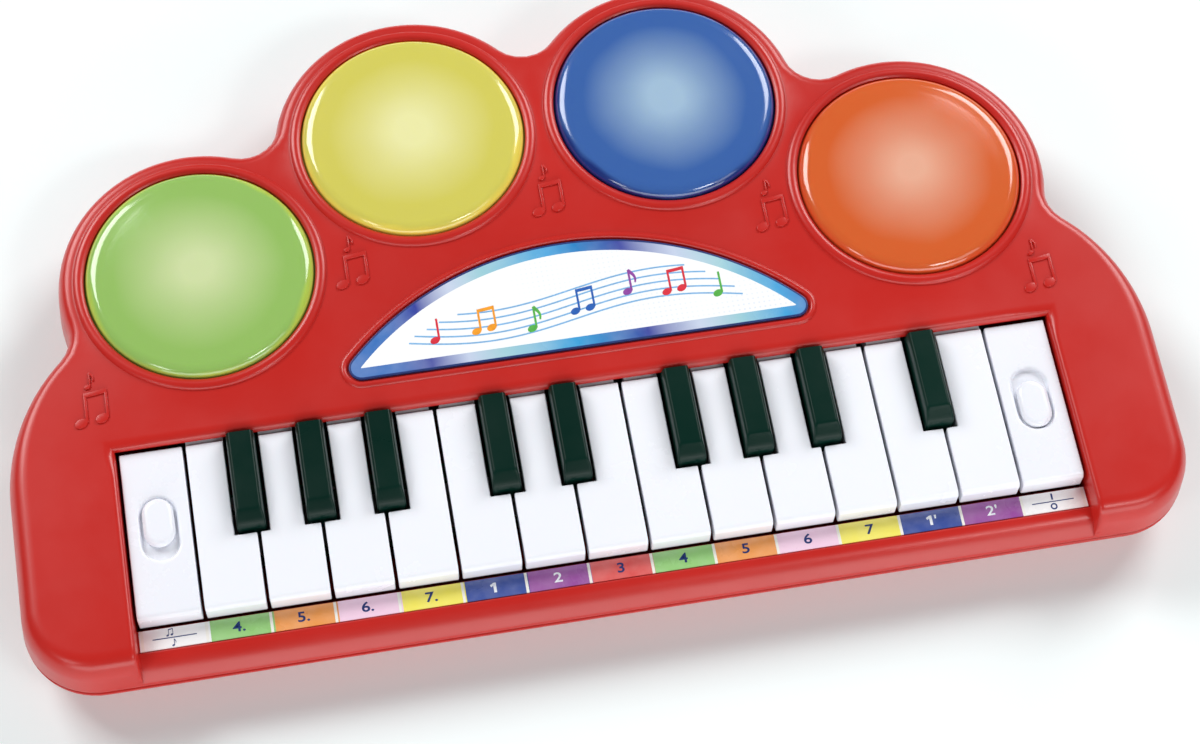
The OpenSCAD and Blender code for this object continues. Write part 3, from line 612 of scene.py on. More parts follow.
def lower_shell(materials):
    form = Form()
    form.skin([ring(AROUND, d, z) for d, z in BASE_LEVELS])
    form.skin([ring(AROUND, d, z) for d, z in BASE_INSIDE])
    holes, floor_holes = [], []
    screw_wall = [(SCREW_HEAD_R, SCREW_SEAT_Z), (SCREW_BORE_R, SCREW_SEAT_Z), (SCREW_BORE_R, SCREW_BORE_Z),
                  (0, SCREW_BORE_Z)]
    for spot in SCREW_SPOTS:
        holes.append(sunk_hole(form, spot, SCREW_HEAD_R, screw_wall))
        turned(form, spot, [(BOSS_R, FLOOR_TOP), (BOSS_R, BOSS_TOP), (0, BOSS_TOP)], 32)
        floor_holes.append(at(circle(spot, BOSS_R, 32), FLOOR_TOP))
    for spot in FOOT_SPOTS:
        holes.append(sunk_hole(form, spot, FOOT_SEAT_R, [(FOOT_SEAT_R, FOOT_SEAT_Z), (0, FOOT_SEAT_Z)], 48))
    grille = [SPEAKER] + [on_circle(SPEAKER, GRILLE_STEP * n, math.pi * k / (3 * n))
                          for n in (1, 2, 3) for k in range(6 * n)]
    for spot in grille:
        holes.append(sunk_hole(form, spot, GRILLE_R, [(GRILLE_R, FLOOR_TOP)], 20))
        floor_holes.append(at(circle(spot, GRILLE_R, 20), FLOOR_TOP))
    # Battery bay, its tongue recess and the door screw's boss
    x0, y0, x1, y1 = *BAY_LOW, *BAY_HIGH
    t0, t1, tx = tongue_span(0)
    mouth = [(x0, y0), (x1, y0), (x1, t0), (tx, t0), (tx, t1), (x1, t1), (x1, y1), (x0, y1)]
    recess_z = GROUND_FACE + 1.9
    lip_z = GROUND_FACE + 0.12
    form.skin([at(grown(mouth, 0.12), GROUND_FACE), at(mouth, lip_z)])
    holes.append(at(grown(mouth, 0.12), GROUND_FACE))
    for wall in (mouth[1:7], [mouth[7], mouth[0]]):
        form.skin([at(wall, lip_z), at(wall, recess_z)], closed=False)
    for y, out in ((y0, -1), (y1, 1)):
        hinge_hole = [[(p[0], y + out * d, p[1]) for p in circle(HINGE, HINGE_PIN_R + 0.05, 24)]
                      for d in (0, 1.5)]
        wall = [(x0, y, lip_z), (x1, y, lip_z), (x1, y, recess_z), (x0, y, recess_z)]
        form.flat(wall, [hinge_hole[0]], axes=(0, 2))
        form.skin(hinge_hole)
        form.flat(hinge_hole[1], axes=(0, 2))
    bay = [(x0, y0), (x1, y0), (x1, t0), (x1, t1), (x1, y1), (x0, y1)]
    form.cup(bay, recess_z, BAY_ROOF)
    tongue = [(x1, t0), (tx, t0), (tx, t1), (x1, t1)]
    form.flat(at(tongue, recess_z), [at(circle(DOOR_SCREW, DOOR_SCREW_WELL_R, 32), recess_z)])
    turned(form, DOOR_SCREW, [(DOOR_SCREW_WELL_R, recess_z), (DOOR_SCREW_WELL_R, DOOR_SCREW_WELL_Z),
                              (0, DOOR_SCREW_WELL_Z)], 32)
    xo0, yo0, xo1, yo1 = x0 - BAY_WALL, y0 - BAY_WALL, x1 + BAY_WALL, y1 + BAY_WALL
    block = [(xo0, yo0), (xo1, yo0), (xo1, t0 + 1.5), (tx - 1.5, t0 + 1.5), (tx - 1.5, t1 - 1.5),
             (xo1, t1 - 1.5), (xo1, yo1), (xo0, yo1)]
    form.cup(block, FLOOR_TOP, BAY_ROOF + BAY_WALL)
    floor_holes.append(at(block, FLOOR_TOP))
    form.flat(ring(AROUND, FLOOR_INSET, GROUND_FACE), holes)
    form.flat(ring(AROUND, FLOOR_INSET, FLOOR_TOP), floor_holes)
    form.piece("lower_case", "case", materials, ("lower_shell",))


def rubber_feet(material):
    form = Form()
    profile = [(0, 0), (4.6, 0), (5.1, 0.08), (5.5, 0.3), (5.8, 0.7), (5.95, 1.3), (6, 3), (0, 3)]
    for spot in FOOT_SPOTS:
        turned(form, spot, profile, 48)
    form.piece("rubber_feet_turned", "case", material, ("rubber_feet",))


def battery_door(material):
    form = Form()
    low, high = GROUND_FACE, GROUND_FACE + 1.8
    gap, soft = 0.4, 0.35
    hinge_x = HINGE[0]
    right = BAY_HIGH[0] - gap
    t0, t1, end = tongue_span(gap)
    y0, y1 = BAY_LOW[1] + gap, BAY_HIGH[1] - gap
    plan = [(hinge_x, y0), (right, y0), (right, t0), (end, t0), (end, t1), (right, t1), (right, y1),
            (hinge_x, y1)]
    steps = rounding(soft, 3)
    form.skin([at(grown(plan, -d), low + h) for d, h in reversed(steps)]
              + [at(grown(plan, -d), high - h) for d, h in steps])
    screw_hole = circle(DOOR_SCREW, 1.62, 32)
    grooves = [stadium((hinge_x + 8.5 + 3.2 * k, (y0 + y1) / 2), 1.5, 20 - 2.6 * abs(k - 2))
               for k in range(5)]
    form.flat(at(grown(plan, -soft), low), [at(screw_hole, low)] + [at(grown(g, 0.15), low) for g in grooves])
    form.flat(at(grown(plan, -soft), high), [at(screw_hole, high)])
    form.skin([at(screw_hole, low), at(screw_hole, high)])
    for groove in grooves:
        form.skin([at(grown(groove, 0.15), low), at(groove, low + 0.2), at(grown(groove, -0.25), low + 0.5)])
        form.flat(at(grown(groove, -0.25), low + 0.5))
    pin, knuckle_r = 1.4, 0.9
    barrel = [(y0 - pin, TINY), (y0 - pin, HINGE_PIN_R), (y0, HINGE_PIN_R), (y0, knuckle_r), (y1, knuckle_r),
              (y1, HINGE_PIN_R), (y1 + pin, HINGE_PIN_R), (y1 + pin, TINY)]
    form.skin([[(x, y, z) for x, z in circle(HINGE, r, 24)] for y, r in barrel])
    form.piece("battery_cover", "battery_door", material, ("battery_door",))


# ---------------------------------------------------------------- keys
BLACK_AFTER = (1, 2, 3, 5, 6, 8, 9, 10, 12)     # a black key stands after each of these white keys
BARE_JOINTS = (4, 7, 11)
BLACK_FRONT = black_low.y
BLACK_W = black_high.x - black_low.x
BLACK_TOP = black_high.z
NOTCH_SIDE = 0.95
NOTCH_FRONT = 1.1
PIVOT = next(j for j in frame["joints"] if j["name"] == "white_key_01_press")["pos_m"]
PIVOT_Y, PIVOT_Z = [c / MM for c in PIVOT[1:]]
TAIL_BACK = PIVOT_Y + 3.4
TAIL_FRONT = KEY_BACK - 2.5
TAIL_LOW = KEY_SKIRT + 0.4
PLUNGER_Y = KEY_FRONT + 1.65 * PITCH
PLUNGER_HALF = 2


def white_edges(i):
    """Left and right edges of white key i at the front, and at the back between its black keys."""
    low, high = box_mm(f"white_key_{i:02d}")
    back = []
    for side, joint, edge in ((-1, i - 1, low.x), (1, i, high.x)):
        if joint in BLACK_AFTER:
            black = middle(f"black_key_{BLACK_AFTER.index(joint) + 1:02d}")[0]
            back.append(black - side * (BLACK_W / 2 + NOTCH_SIDE))
        else:
            back.append(edge)
    return low.x, high.x, back[0], back[1]


def prism(points, z0, z1):
    bm = bmesh.new()
    low, high = ([bm.verts.new((x, y, z)) for x, y in points] for z in (z0, z1))
    bm.faces.new(list(reversed(low)))
    bm.faces.new(high)
    for i in range(len(points)):
        j = (i + 1) % len(points)
        bm.faces.new((low[i], low[j], high[j], high[i]))
    bm.normal_update()
    return bm


def bevel(bm, edges, width, steps):
    bmesh.ops.bevel(bm, geom=edges, offset=width, offset_type="OFFSET", segments=steps, profile=0.5,
                    affect="EDGES", clamp_overlap=True)
    bm.normal_update()


def along(edge, axis):
    return abs((edge.verts[0].co - edge.verts[1].co).normalized()[axis]) > 0.99


def add_plunger(bm, x, z0, z1):
    """Peg inside a hollow key, which presses its contact dome."""
    y, half = PLUNGER_Y, PLUNGER_HALF
    plan = [(x - half, y - half), (x + half, y - half), (x + half, y + half), (x - half, y + half)]
    form = Form()
    form.solid([at(grown(plan, -0.3), z0), at(plan, z0 + 0.3), at(plan, z1)])
    form.pour(bm)


def add_tail(bm, x0, x1):
    """Lever behind the slot, with the bore for the pivot rod."""
    form = Form()
    top, low = KEY_TOP - 1.5, 18.5
    side = [(TAIL_FRONT, TAIL_LOW), (PIVOT_Y - 9, TAIL_LOW), (PIVOT_Y - 5, low), (TAIL_BACK, low),
            (TAIL_BACK, top),
            (TAIL_FRONT, top)]
    bore = circle((PIVOT_Y, PIVOT_Z), 1.56, 32)
    for x in (x0, x1):
        form.flat([(x, y, z) for y, z in side], [[(x, y, z) for y, z in bore]], axes=(1, 2))
    for loop in (side, bore):
        form.skin([[(x, y, z) for y, z in loop] for x in (x0, x1)])
    form.pour(bm)


def nose_and_edges(bm, front_y, top_z):
    """Rounds the front top edge like a key's nose, then softens the other edges that a finger meets."""
    nose = [e for e in bm.edges if along(e, 0)
            and all(abs(v.co.y - front_y) < 0.01 and abs(v.co.z - top_z) < 0.01 for v in e.verts)]
    bevel(bm, nose, 2.0, 7)
    soft = [e for e in bm.edges if len(e.link_faces) == 2 and e.calc_face_angle(0) > 0.7
            and min(v.co.z for v in e.verts) > KEY_SKIRT - 0.01
            and max(v.co.z for v in e.verts) > KEY_SKIRT + 0.01]
    bevel(bm, soft, 0.4, 3)


def lift_out(bm, *faces):
    """Takes faces out and returns their outlines."""
    loops = [[tuple(v.co) for v in f.verts] for f in faces]
    bmesh.ops.delete(bm, geom=list(faces), context="FACES_ONLY")
    return loops


def pour_welded(form, bm):
    """Adds a form that closes the openings of a bmesh."""
    form.pour(bm)
    bmesh.ops.remove_doubles(bm, verts=bm.verts, dist=WELD)


def hollow(bm, pocket, ceiling_z):
    """Opens the underside of a moulding to a pocket."""
    loop, = lift_out(bm, min(bm.faces, key=lambda f: f.calc_center_median().z))
    form = Form()
    form.flat(loop, [at(pocket, loop[0][2])])
    form.cup(pocket, loop[0][2], ceiling_z)
    pour_welded(form, bm)


def white_key(i, material):
    left, right, back_left, back_right = white_edges(i)
    step_y = BLACK_FRONT - NOTCH_FRONT
    tail_left, tail_right = max(left, back_left), min(right, back_right)
    plan = [(left, KEY_FRONT), (right, KEY_FRONT)]
    if back_right < right - 0.1:
        plan += [(right, step_y), (back_right, step_y)]
    plan += [(tail_right, KEY_BACK), (tail_left, KEY_BACK)]
    if back_left > left + 0.1:
        plan += [(back_left, step_y), (left, step_y)]
    bm = prism(plan, KEY_SKIRT, KEY_TOP)
    nose_and_edges(bm, KEY_FRONT, KEY_TOP)
    hollow(bm, grown(plan, -1.6), KEY_TOP - 2)
    inset = [1.05 if joint in BARE_JOINTS else 0.0 for joint in (i - 1, i)]
    add_tail(bm, tail_left + inset[0], tail_right - inset[1])
    name = f"white_key_{i:02d}"
    add_plunger(bm, (back_left + back_right) / 2, box_mm(name)[0].z, KEY_TOP - 1.8)
    finish_piece(bm, f"white_key_top_{i:02d}", name, material, (name,), weighted=True)


def soft_rectangle(x0, x1, y0, y1, r):
    """Rectangle with its two front corners rounded, counter-clockwise."""
    right, left = ([on_circle((cx, y0 + r), r, math.radians(start + 90 * k / 4)) for k in range(5)]
                   for cx, start in ((x1 - r, -90), (x0 + r, 180)))
    return right + [(x1, y1), (x0, y1)] + left


BLACK_LEVELS = [(KEY_SKIRT, 0, 0), (KEY_TOP, 0, 0), (28.0, 0.02, 0.03), (28.8, 0.06, 0.35),
                (29.6, 0.14, 0.95),
                (30.4, 0.24, 2.05), (31.1, 0.42, 3.05), (31.5, 0.62, 3.65), (31.8, 0.9, 4.15),
                (31.95, 1.15, 4.5),
                (BLACK_TOP, 1.5, 5.0)]     # height, inset of the sides, inset of the front


def black_key(j, material):
    node = f"black_key_{j:02d}"
    x = middle(node)[0]
    half = BLACK_W / 2
    form = Form()
    rows = [at(soft_rectangle(x - half + d, x + half - d, BLACK_FRONT + y, KEY_BACK, 0.7), z)
            for z, d, y in BLACK_LEVELS]
    form.skin(rows)
    form.flat(rows[-1])
    pocket = soft_rectangle(x - half + 1.4, x + half - 1.4, BLACK_FRONT + 1.8, KEY_BACK - 1.8, 0.5)
    form.flat(rows[0], [at(pocket, KEY_SKIRT)])
    form.cup(pocket, KEY_SKIRT, BLACK_TOP - 3.5)
    bm = bmesh.new()
    form.pour(bm)
    add_tail(bm, x - half, x + half)
    add_plunger(bm, x, box_mm(node)[0].z, BLACK_TOP - 3.3)
    finish_piece(bm, f"black_key_top_{j:02d}", node, material, (node,), smooth=32, weighted=True)


# ---------------------------------------------------------------- switches
DISH_W, DISH_L = 11.0, 20.0
DISH_FLOOR = KEY_TOP - 1.6
DISH_STEPS = [(1.2, 0), (0.9, 0), (0.55, 0.08), (0.25, 0.3), (0.05, 0.7), (-0.1, 1.2), (-0.3, 1.5),
              (-0.6, 1.6)]
SWITCH_X = 7 * PITCH + 0.4
SWITCH_Y = KEY_FRONT + 1.45 * PITCH


def switch_panel(side, material):
    node = "power_switch_panel" if side > 0 else "mode_switch_panel"
    x0, x1 = (corner.x for corner in box_mm(node))
    centre = (side * SWITCH_X, SWITCH_Y)
    bm = prism([(x0, KEY_FRONT), (x1, KEY_FRONT), (x1, KEY_BACK), (x0, KEY_BACK)], KEY_SKIRT, KEY_TOP)
    nose_and_edges(bm, KEY_FRONT, KEY_TOP)
    top = max(bm.faces, key=lambda f: (round(f.calc_center_median().z, 2), f.calc_area()))
    bottom = min(bm.faces, key=lambda f: f.calc_center_median().z)
    top_loop, bottom_loop = lift_out(bm, top, bottom)
    form = Form()
    dish = [at(stadium(centre, DISH_W + 2 * d, DISH_L + 2 * d), KEY_TOP - h) for d, h in DISH_STEPS]
    tube = stadium(centre, 4.8, 10.8)
    form.skin(dish)
    form.flat(top_loop, [dish[0]])
    form.flat(dish[-1], [at(tube, DISH_FLOOR)])
    form.skin([at(tube, DISH_FLOOR), at(tube, KEY_SKIRT)])
    form.flat(bottom_loop, [at(tube, KEY_SKIRT)])
    pour_welded(form, bm)
    finish_piece(bm, node + "_moulded", "case", material, (node,), weighted=True)


def switch_knob(side, material):
    word = "power" if side > 0 else "mode"
    node = word + "_switch_knob"
    low, high = box_mm(node)
    width, length = high.x - low.x, high.y - low.y
    stem_w, stem_l = 4, 6.0
    base, top = DISH_FLOOR + 0.2, high.z
    stem_d, dome_z = -(width - stem_w) / 2, base + 1.3
    cap = [(-0.35, base), (-0.05, base + 0.3), (0, base + 1.2)]
    cap += [(-1.9 * (1 - math.cos(a)), dome_z + (top - dome_z) * math.sin(a))
            for a in (math.pi / 2 * k / 8 for k in range(9))] + [(-2.6, top)]
    form = Form()
    form.solid([at(stadium(middle(node), width + 2 * stem_d, stem_l), z) for z in (low.z, base)]
               + [at(stadium(middle(node), width + 2 * d, length + 2 * d), z) for d, z in cap])
    form.piece(word + "_slider_cap", word + "_knob", material, (node,), smooth=50)


# ---------------------------------------------------------------- pads
LENS_R = WELL_R - 0.6
FLANGE_R = (lens_high.x - lens_low.x) / 2
FLANGE_TOP = 26.0
LENS_RIM = 33.0
LENS_CROWN = lens_high.z - LENS_RIM
LENS_SKIN = 2.0
RIM_WIDE, RIM_DEEP = 4.3, 2.9


def pad_lens(colour, material):
    node = "pad_lens_" + colour
    bottom, shoulder, inner, under = lens_low.z, LENS_R - RIM_WIDE, LENS_R - LENS_SKIN, LENS_RIM - LENS_SKIN
    profile = [(inner, bottom), (FLANGE_R - 0.2, bottom), (FLANGE_R, bottom + 0.2),
               (FLANGE_R, FLANGE_TOP - 0.2),
               (FLANGE_R - 0.2, FLANGE_TOP), (LENS_R + 0.15, FLANGE_TOP), (LENS_R, FLANGE_TOP + 0.15),
               (LENS_R, 28.5),
               (LENS_R, LENS_RIM - RIM_DEEP)]
    for k in range(1, 13):
        a = math.pi / 2 * k / 12
        profile.append((LENS_R - RIM_WIDE * (1 - math.cos(a)), LENS_RIM - RIM_DEEP * (1 - math.sin(a))))
    for k in range(1, 15):
        r = shoulder * (1 - k / 14)
        profile.append((r, LENS_RIM + LENS_CROWN * (1 - (r / shoulder) ** 2)))
    profile += [(0, under), (inner - 3.6, under), (inner - 1.2, under - 0.9), (inner, under - 2.6),
                (inner, bottom)]
    form = Form()
    turned(form, middle(node), profile, PAD_SIDES)
    form.piece("pad_dome_" + colour, "pad_" + colour, material, (node,), smooth=35)


# ---------------------------------------------------------------- notes drawn as flat or raised shapes
def ellipse(centre, a, b, tilt):
    c, s = math.cos(math.radians(tilt)), math.sin(math.radians(tilt))
    return [(centre[0] + a * math.cos(t) * c - b * math.sin(t) * s,
             centre[1] + a * math.cos(t) * s + b * math.sin(t) * c)
            for t in (2 * math.pi * k / 28 for k in range(28))]


def stroke(points, widths):
    """Outline of a smooth stroke through points with a width at each."""
    left, right = [], []
    for i, p in enumerate(points):
        a, b = Vector(points[max(i - 1, 0)]), Vector(points[min(i + 1, len(points) - 1)])
        run = (b - a).normalized()
        side = Vector((-run.y, run.x)) * widths[i] / 2
        left.append(tuple(Vector(p) + side))
        right.append(tuple(Vector(p) - side))
    return right + list(reversed(left))


def curve_points(p0, p1, p2, p3, count):
    return [bezier(p0, p1, p2, p3, i / (count - 1)) for i in range(count)]


def note_shapes(x, y, size, kind):
    """Generic note: a tilted head and a stem, with a flag, a beam to a second head, or neither."""
    def spot(u, v):
        return (x + u * size, y + v * size)

    def head(u, v):
        return ellipse(spot(u, v), 0.62 * size, 0.44 * size, 24)

    def bar(width, *ends):
        return stroke([spot(u, v) for u, v in ends], [width * size] * len(ends))

    stem, pair = 0.53, 1.9
    second = pair + stem
    shapes = [head(0, 0), bar(0.26, (stem, 0.05), (stem, 1.4), (stem, 2.9))]
    if kind == "flag":
        flag = curve_points(spot(stem, 2.95), spot(stem + 0.25, 2.3), spot(1.45, 2.2), spot(1.15, 1.1), 9)
        shapes.append(stroke(flag, [size * w for w in (0.34, 0.44, 0.44, 0.4, 0.36, 0.32, 0.28, 0.24, 0.2)]))
    if kind == "pair":
        shapes += [head(pair, 0.25), bar(0.26, (second, 0.3), (second, 1.6), (second, 3.15)),
                   bar(0.42, (stem - 0.1, 2.72), ((stem + second) / 2, 2.84), (second + 0.1, 2.97))]
    return shapes


def raise_shape(form, outline, z0, height, soft):
    """A low closed block with this outline, its top edge rounded off by soft."""
    steps = [(0, 0), (0, height - soft)] + [(d, height - h) for d, h in rounding(soft, 3)[1:]]
    form.solid([at(grown(outline, -d), z0 + z) for d, z in steps])


MOTIF_SPOTS = ((-149.3, -16.2), (-66.0, 17.6), (-2.3, 33.1), (65.9, 16.9), (144.1, -16.9))


def relief_notes(material):
    """Raised notes on the case beside the pads: a beamed pair with a small note above it."""
    form = Form()
    for x, y in MOTIF_SPOTS:
        shapes = note_shapes(x - 3.2, y - 7.5, 3.3, "pair") + note_shapes(x - 0.4, y + 4.2, 1.6, "flag")
        for k, shape in enumerate(shapes):
            raise_shape(form, shape, TOP_Z - 0.35 - 0.02 * k, 0.85 + 0.03 * k, 0.16)
    form.piece("raised_notes", "case", material, smooth=50)


BORDER = 3.8
CARD_EDGE = 0.7


def badge_plate(materials):
    """Its materials are the card, the border and the edge."""
    form = Form()
    z0, z1 = badge_low.z, badge_high.z
    form.flat(at(badge_outline(0), z0))
    edge, inner = at(badge_outline(-CARD_EDGE), z1), at(badge_outline(-BORDER), z1)
    form.mark = 2
    form.skin([at(badge_outline(0), z0)] + [at(badge_outline(-d), z1 - h) for d, h in rounding(0.3, 3)]
              + [edge])
    form.mark = 1
    form.skin([edge, inner])
    form.mark = 0
    form.flat(inner)
    form.piece("badge_card", "case", materials, ("badge_plate",))


def wave(x):
    """Height of the printed stave's middle line along the badge."""
    return badge_low.y + 15.0 + 3.4 * math.sin(x / 17.0)


BADGE_NOTES = ((-44, -1, "single", 1), (-31, 1, "pair", 2), (-14, -1, "flag", 3), (0, 0, "pair", 4),
               (17, 1, "flag", 5),
               (29, -1, "pair", 1), (44.5, -2, "single", 3))     # x, step on the stave, kind, ink


def badge_art(inks):
    """Generic print on the badge: a waving stave with coloured notes."""
    form = Form()
    z = badge_high.z - 0.02
    for k, reach in enumerate((52, 50, 46, 42, 36)):
        line = [(x, wave(x) + (k - 2) * 2.5) for x in (-reach + 2 * reach * i / 40 for i in range(41))]
        raise_shape(form, stroke(line, [0.5] * len(line)), z, 0.05, 0.01)
    for x, step, kind, ink in BADGE_NOTES:
        form.mark = ink
        for n, shape in enumerate(note_shapes(x, wave(x) - 2.5 + 1.25 * step, 2.5, kind)):
            raise_shape(form, shape, z, 0.08 + 0.004 * n, 0.015)
    form.piece("badge_print", "case", inks, smooth=50)


# ---------------------------------------------------------------- strip of notes in front of the keys
CELL_TEXT = ("4.", "5.", "6.", "7.", "1", "2", "3", "4", "5", "6", "7", "1'", "2'")
LIGHT_TEXT = (4, 5, 11, 12)
DIGIT_H = 3.1
ONE = [[(-0.14, 0), (0.14, 0), (0.14, 1), (-0.08, 1), (-0.44, 0.8), (-0.36, 0.58), (-0.14, 0.7)]]
DASH = [[(0.4, 0.62), (0.54, 0.62), (0.6, 1), (0.38, 1)]]


def note_strip(materials):
    form = Form()
    (x0, y0, z0), (x1, y1, z1) = strip_low, strip_high
    plan = [(x0, y0), (x1, y0), (x1, y1), (x0, y1)]
    form.flat(at(plan, z0))
    soft = [at(grown(plan, -d), z1 - h) for d, h in rounding(0.12, 2)]
    form.skin([at(plan, z0)] + soft)
    form.flat(soft[-1])
    form.piece("note_strip_card", "case", materials, ("note_strip",))


def add_text(bm, text, size, x, y, z, mark):
    """Adds a line of digits, centred on x, y, to a bmesh in millimetres."""
    data = bpy.data.curves.new("digits", "FONT")
    for key, value in dict(body=text, size=size, align_x="CENTER", align_y="CENTER", extrude=0.02,
                           offset=0.07,
                           resolution_u=6).items():
        setattr(data, key, value)
    holder = bpy.data.objects.new("digits", data)
    SCENE.collection.objects.link(holder)
    bpy.context.view_layer.update()
    mesh = bpy.data.meshes.new_from_object(holder.evaluated_get(bpy.context.evaluated_depsgraph_get()))
    bpy.data.objects.remove(holder)
    bpy.data.curves.remove(data)
    old_verts, old_faces = len(bm.verts), len(bm.faces)
    bm.from_mesh(mesh)
    bm.verts.ensure_lookup_table()
    bm.faces.ensure_lookup_table()
    for v in bm.verts[old_verts:]:
        v.co = (v.co.x * 1.25 + x, v.co.y + y, v.co.z + z)
    for f in bm.faces[old_faces:]:
        f.material_index = mark
    bpy.data.meshes.remove(mesh)


def strip_marks(inks):
    """Note numbers, and plain signs under the two switches."""
    bm = bmesh.new()
    mid_y = (strip_low.y + strip_high.y) / 2
    print_z = strip_high.z + 0.015
    low_z = print_z - 0.03
    form = Form()

    def printed(shape):
        raise_shape(form, shape, low_z, 0.05, 0.01)

    for k, text in enumerate(CELL_TEXT):
        x = (k - 6) * PITCH
        form.mark = 1 if k in LIGHT_TEXT else 0
        if text.startswith("1"):
            for shape in ONE if len(text) == 1 else ONE + DASH:
                printed([(x + u * DIGIT_H, mid_y + (v - 0.5) * DIGIT_H) for u, v in shape])
        else:
            add_text(bm, text, DIGIT_H / 0.72, x, mid_y, print_z, form.mark)
    form.mark = 0
    left, right = -7 * PITCH, 7 * PITCH
    for centre in (left, right):
        printed(stroke([(centre + d, mid_y) for d in (-6.5, 0, 6.5)], [0.3] * 3))
    for shape in (note_shapes(left - 2.0, mid_y + 0.75, 0.66, "pair")
                  + note_shapes(left - 0.6, mid_y - 2.5, 0.66, "flag")):
        printed(shape)
    printed(stroke([(right, mid_y + d) for d in (0.6, 1.6, 2.6)], [0.55] * 3))
    ids = form.skin([at(circle((right, mid_y - 1.6), r, 32), z)
                     for r, z in ((1.05, low_z), (1.05, low_z + 0.05), (0.6, low_z + 0.05), (0.6, low_z))])
    form.strip(ids[-1], ids[0])
    bmesh.ops.remove_doubles(bm, verts=bm.verts, dist=WELD)
    form.pour(bm)
    finish_piece(bm, "strip_marks", "case", inks, smooth=30)


# ---------------------------------------------------------------- materials
def srgb(r, g, b):
    """Display colour, 0 to 255, as linear light."""
    def linear(v):
        v /= 255
        return v / 12.92 if v <= 0.04045 else ((v + 0.055) / 1.055) ** 2.4
    return (linear(r), linear(g), linear(b), 1)


def scaled(colour, factor):
    return (*[min(1, c * factor) for c in colour[:3]], 1)


class Finish:
    """A node material around one Principled shader, in object coordinates, which are metres."""

    def __init__(self, name, **constants):
        self.material = bpy.data.materials.new(name)
        self.material.use_nodes = True
        self.tree = self.material.node_tree
        self.shader = self.tree.nodes["Principled BSDF"]
        for socket, value in constants.items():
            self.put(self.shader.inputs[socket.replace("_", " ")], value)
        self.coords = self.node("ShaderNodeTexCoord").outputs["Object"]

    def put(self, socket, value):
        """Sets a socket to a constant, or feeds it from another node's output."""
        if isinstance(value, bpy.types.NodeSocket):
            self.tree.links.new(value, socket)
        else:
            socket.default_value = value

    def node(self, kind, inputs=None, **settings):
        made = self.tree.nodes.new(kind)
        for key, value in settings.items():
            setattr(made, key, value)
        for socket, value in (inputs or {}).items():
            self.put(made.inputs[socket], value)
        return made

    def noise(self, scale, detail=3, rough=0.55, stretch=None):
        source = self.coords
        if stretch:
            source = self.node("ShaderNodeMapping", {"Scale": stretch, "Vector": source}).outputs["Vector"]
        return self.node("ShaderNodeTexNoise", {
            "Scale": scale, "Detail": detail, "Roughness": rough, "Vector": source}).outputs["Fac"]

    def cells(self, scale, **more):
        """Distance from the nearest point of a field of points."""
        return self.node("ShaderNodeTexVoronoi", {"Scale": scale, "Vector": self.coords, **more},
                         feature="F1").outputs["Distance"]

    def spread(self, value, low, high, from_low=0.3, from_high=0.7):
        return self.node("ShaderNodeMapRange", {"From Min": from_low, "From Max": from_high, "To Min": low,
                                                "To Max": high, "Value": value}).outputs["Result"]

    def math(self, operation, *values):
        return self.node("ShaderNodeMath", dict(enumerate(values)), operation=operation).outputs[0]

    def vector(self, operation, *values):
        return self.node("ShaderNodeVectorMath", dict(enumerate(values)), operation=operation)

    def mix(self, factor, a, b):
        n = self.node("ShaderNodeMix", data_type="RGBA")
        sockets = [next(s for s in n.inputs if s.name == "Factor" and s.type == "VALUE")]
        sockets += [s for s in n.inputs if s.type == "RGBA"]
        for socket, value in zip(sockets, (factor, a, b)):
            self.put(socket, value)
        return next(s for s in n.outputs if s.type == "RGBA")

    def ramp(self, value, stops, interpolation="LINEAR"):
        n = self.node("ShaderNodeValToRGB", {"Fac": value})
        bar = n.color_ramp
        bar.interpolation = interpolation
        while len(bar.elements) < len(stops):
            bar.elements.new(0.5)
        for element, (position, colour) in zip(bar.elements, stops):
            element.position = position
            element.color = colour
        return n.outputs["Color"]

    def axis(self, name):
        return self.node("ShaderNodeSeparateXYZ", {0: self.coords}).outputs[name]

    def colour(self, source):
        self.put(self.shader.inputs["Base Color"], source)

    def mottle(self, source, a, b):
        """Colour that wanders from a to b."""
        self.colour(self.mix(self.spread(source, 0, 1), a, b))

    def rough(self, source, low, high):
        self.put(self.shader.inputs["Roughness"], self.spread(source, low, high))

    def bump(self, height, strength, distance):
        n = self.node("ShaderNodeBump", {"Strength": strength, "Distance": distance, "Height": height})
        self.put(self.shader.inputs["Normal"], n.outputs["Normal"])


def plastic(name, base, low_rough, high_rough, grain=0.05, cloud=0.05, coat=0.0, subsurface=0.0, gloss=0.5):
    """Moulded plastic: faint flow clouds in the colour, a fine grain, and worn and polished patches."""
    f = Finish(name, Coat_Weight=coat, Coat_Roughness=0.06, Subsurface_Weight=subsurface,
               Subsurface_Scale=0.003,
               Specular_IOR_Level=gloss, Subsurface_Radius=(1.0, 0.5, 0.4))
    f.mottle(f.noise(14, 4), scaled(base, 1 - cloud), scaled(base, 1 + cloud))
    f.rough(f.noise(38, 5, 0.62), low_rough, high_rough)
    f.bump(f.noise(1500, 2, 0.6), grain, 0.0002)
    return f.material


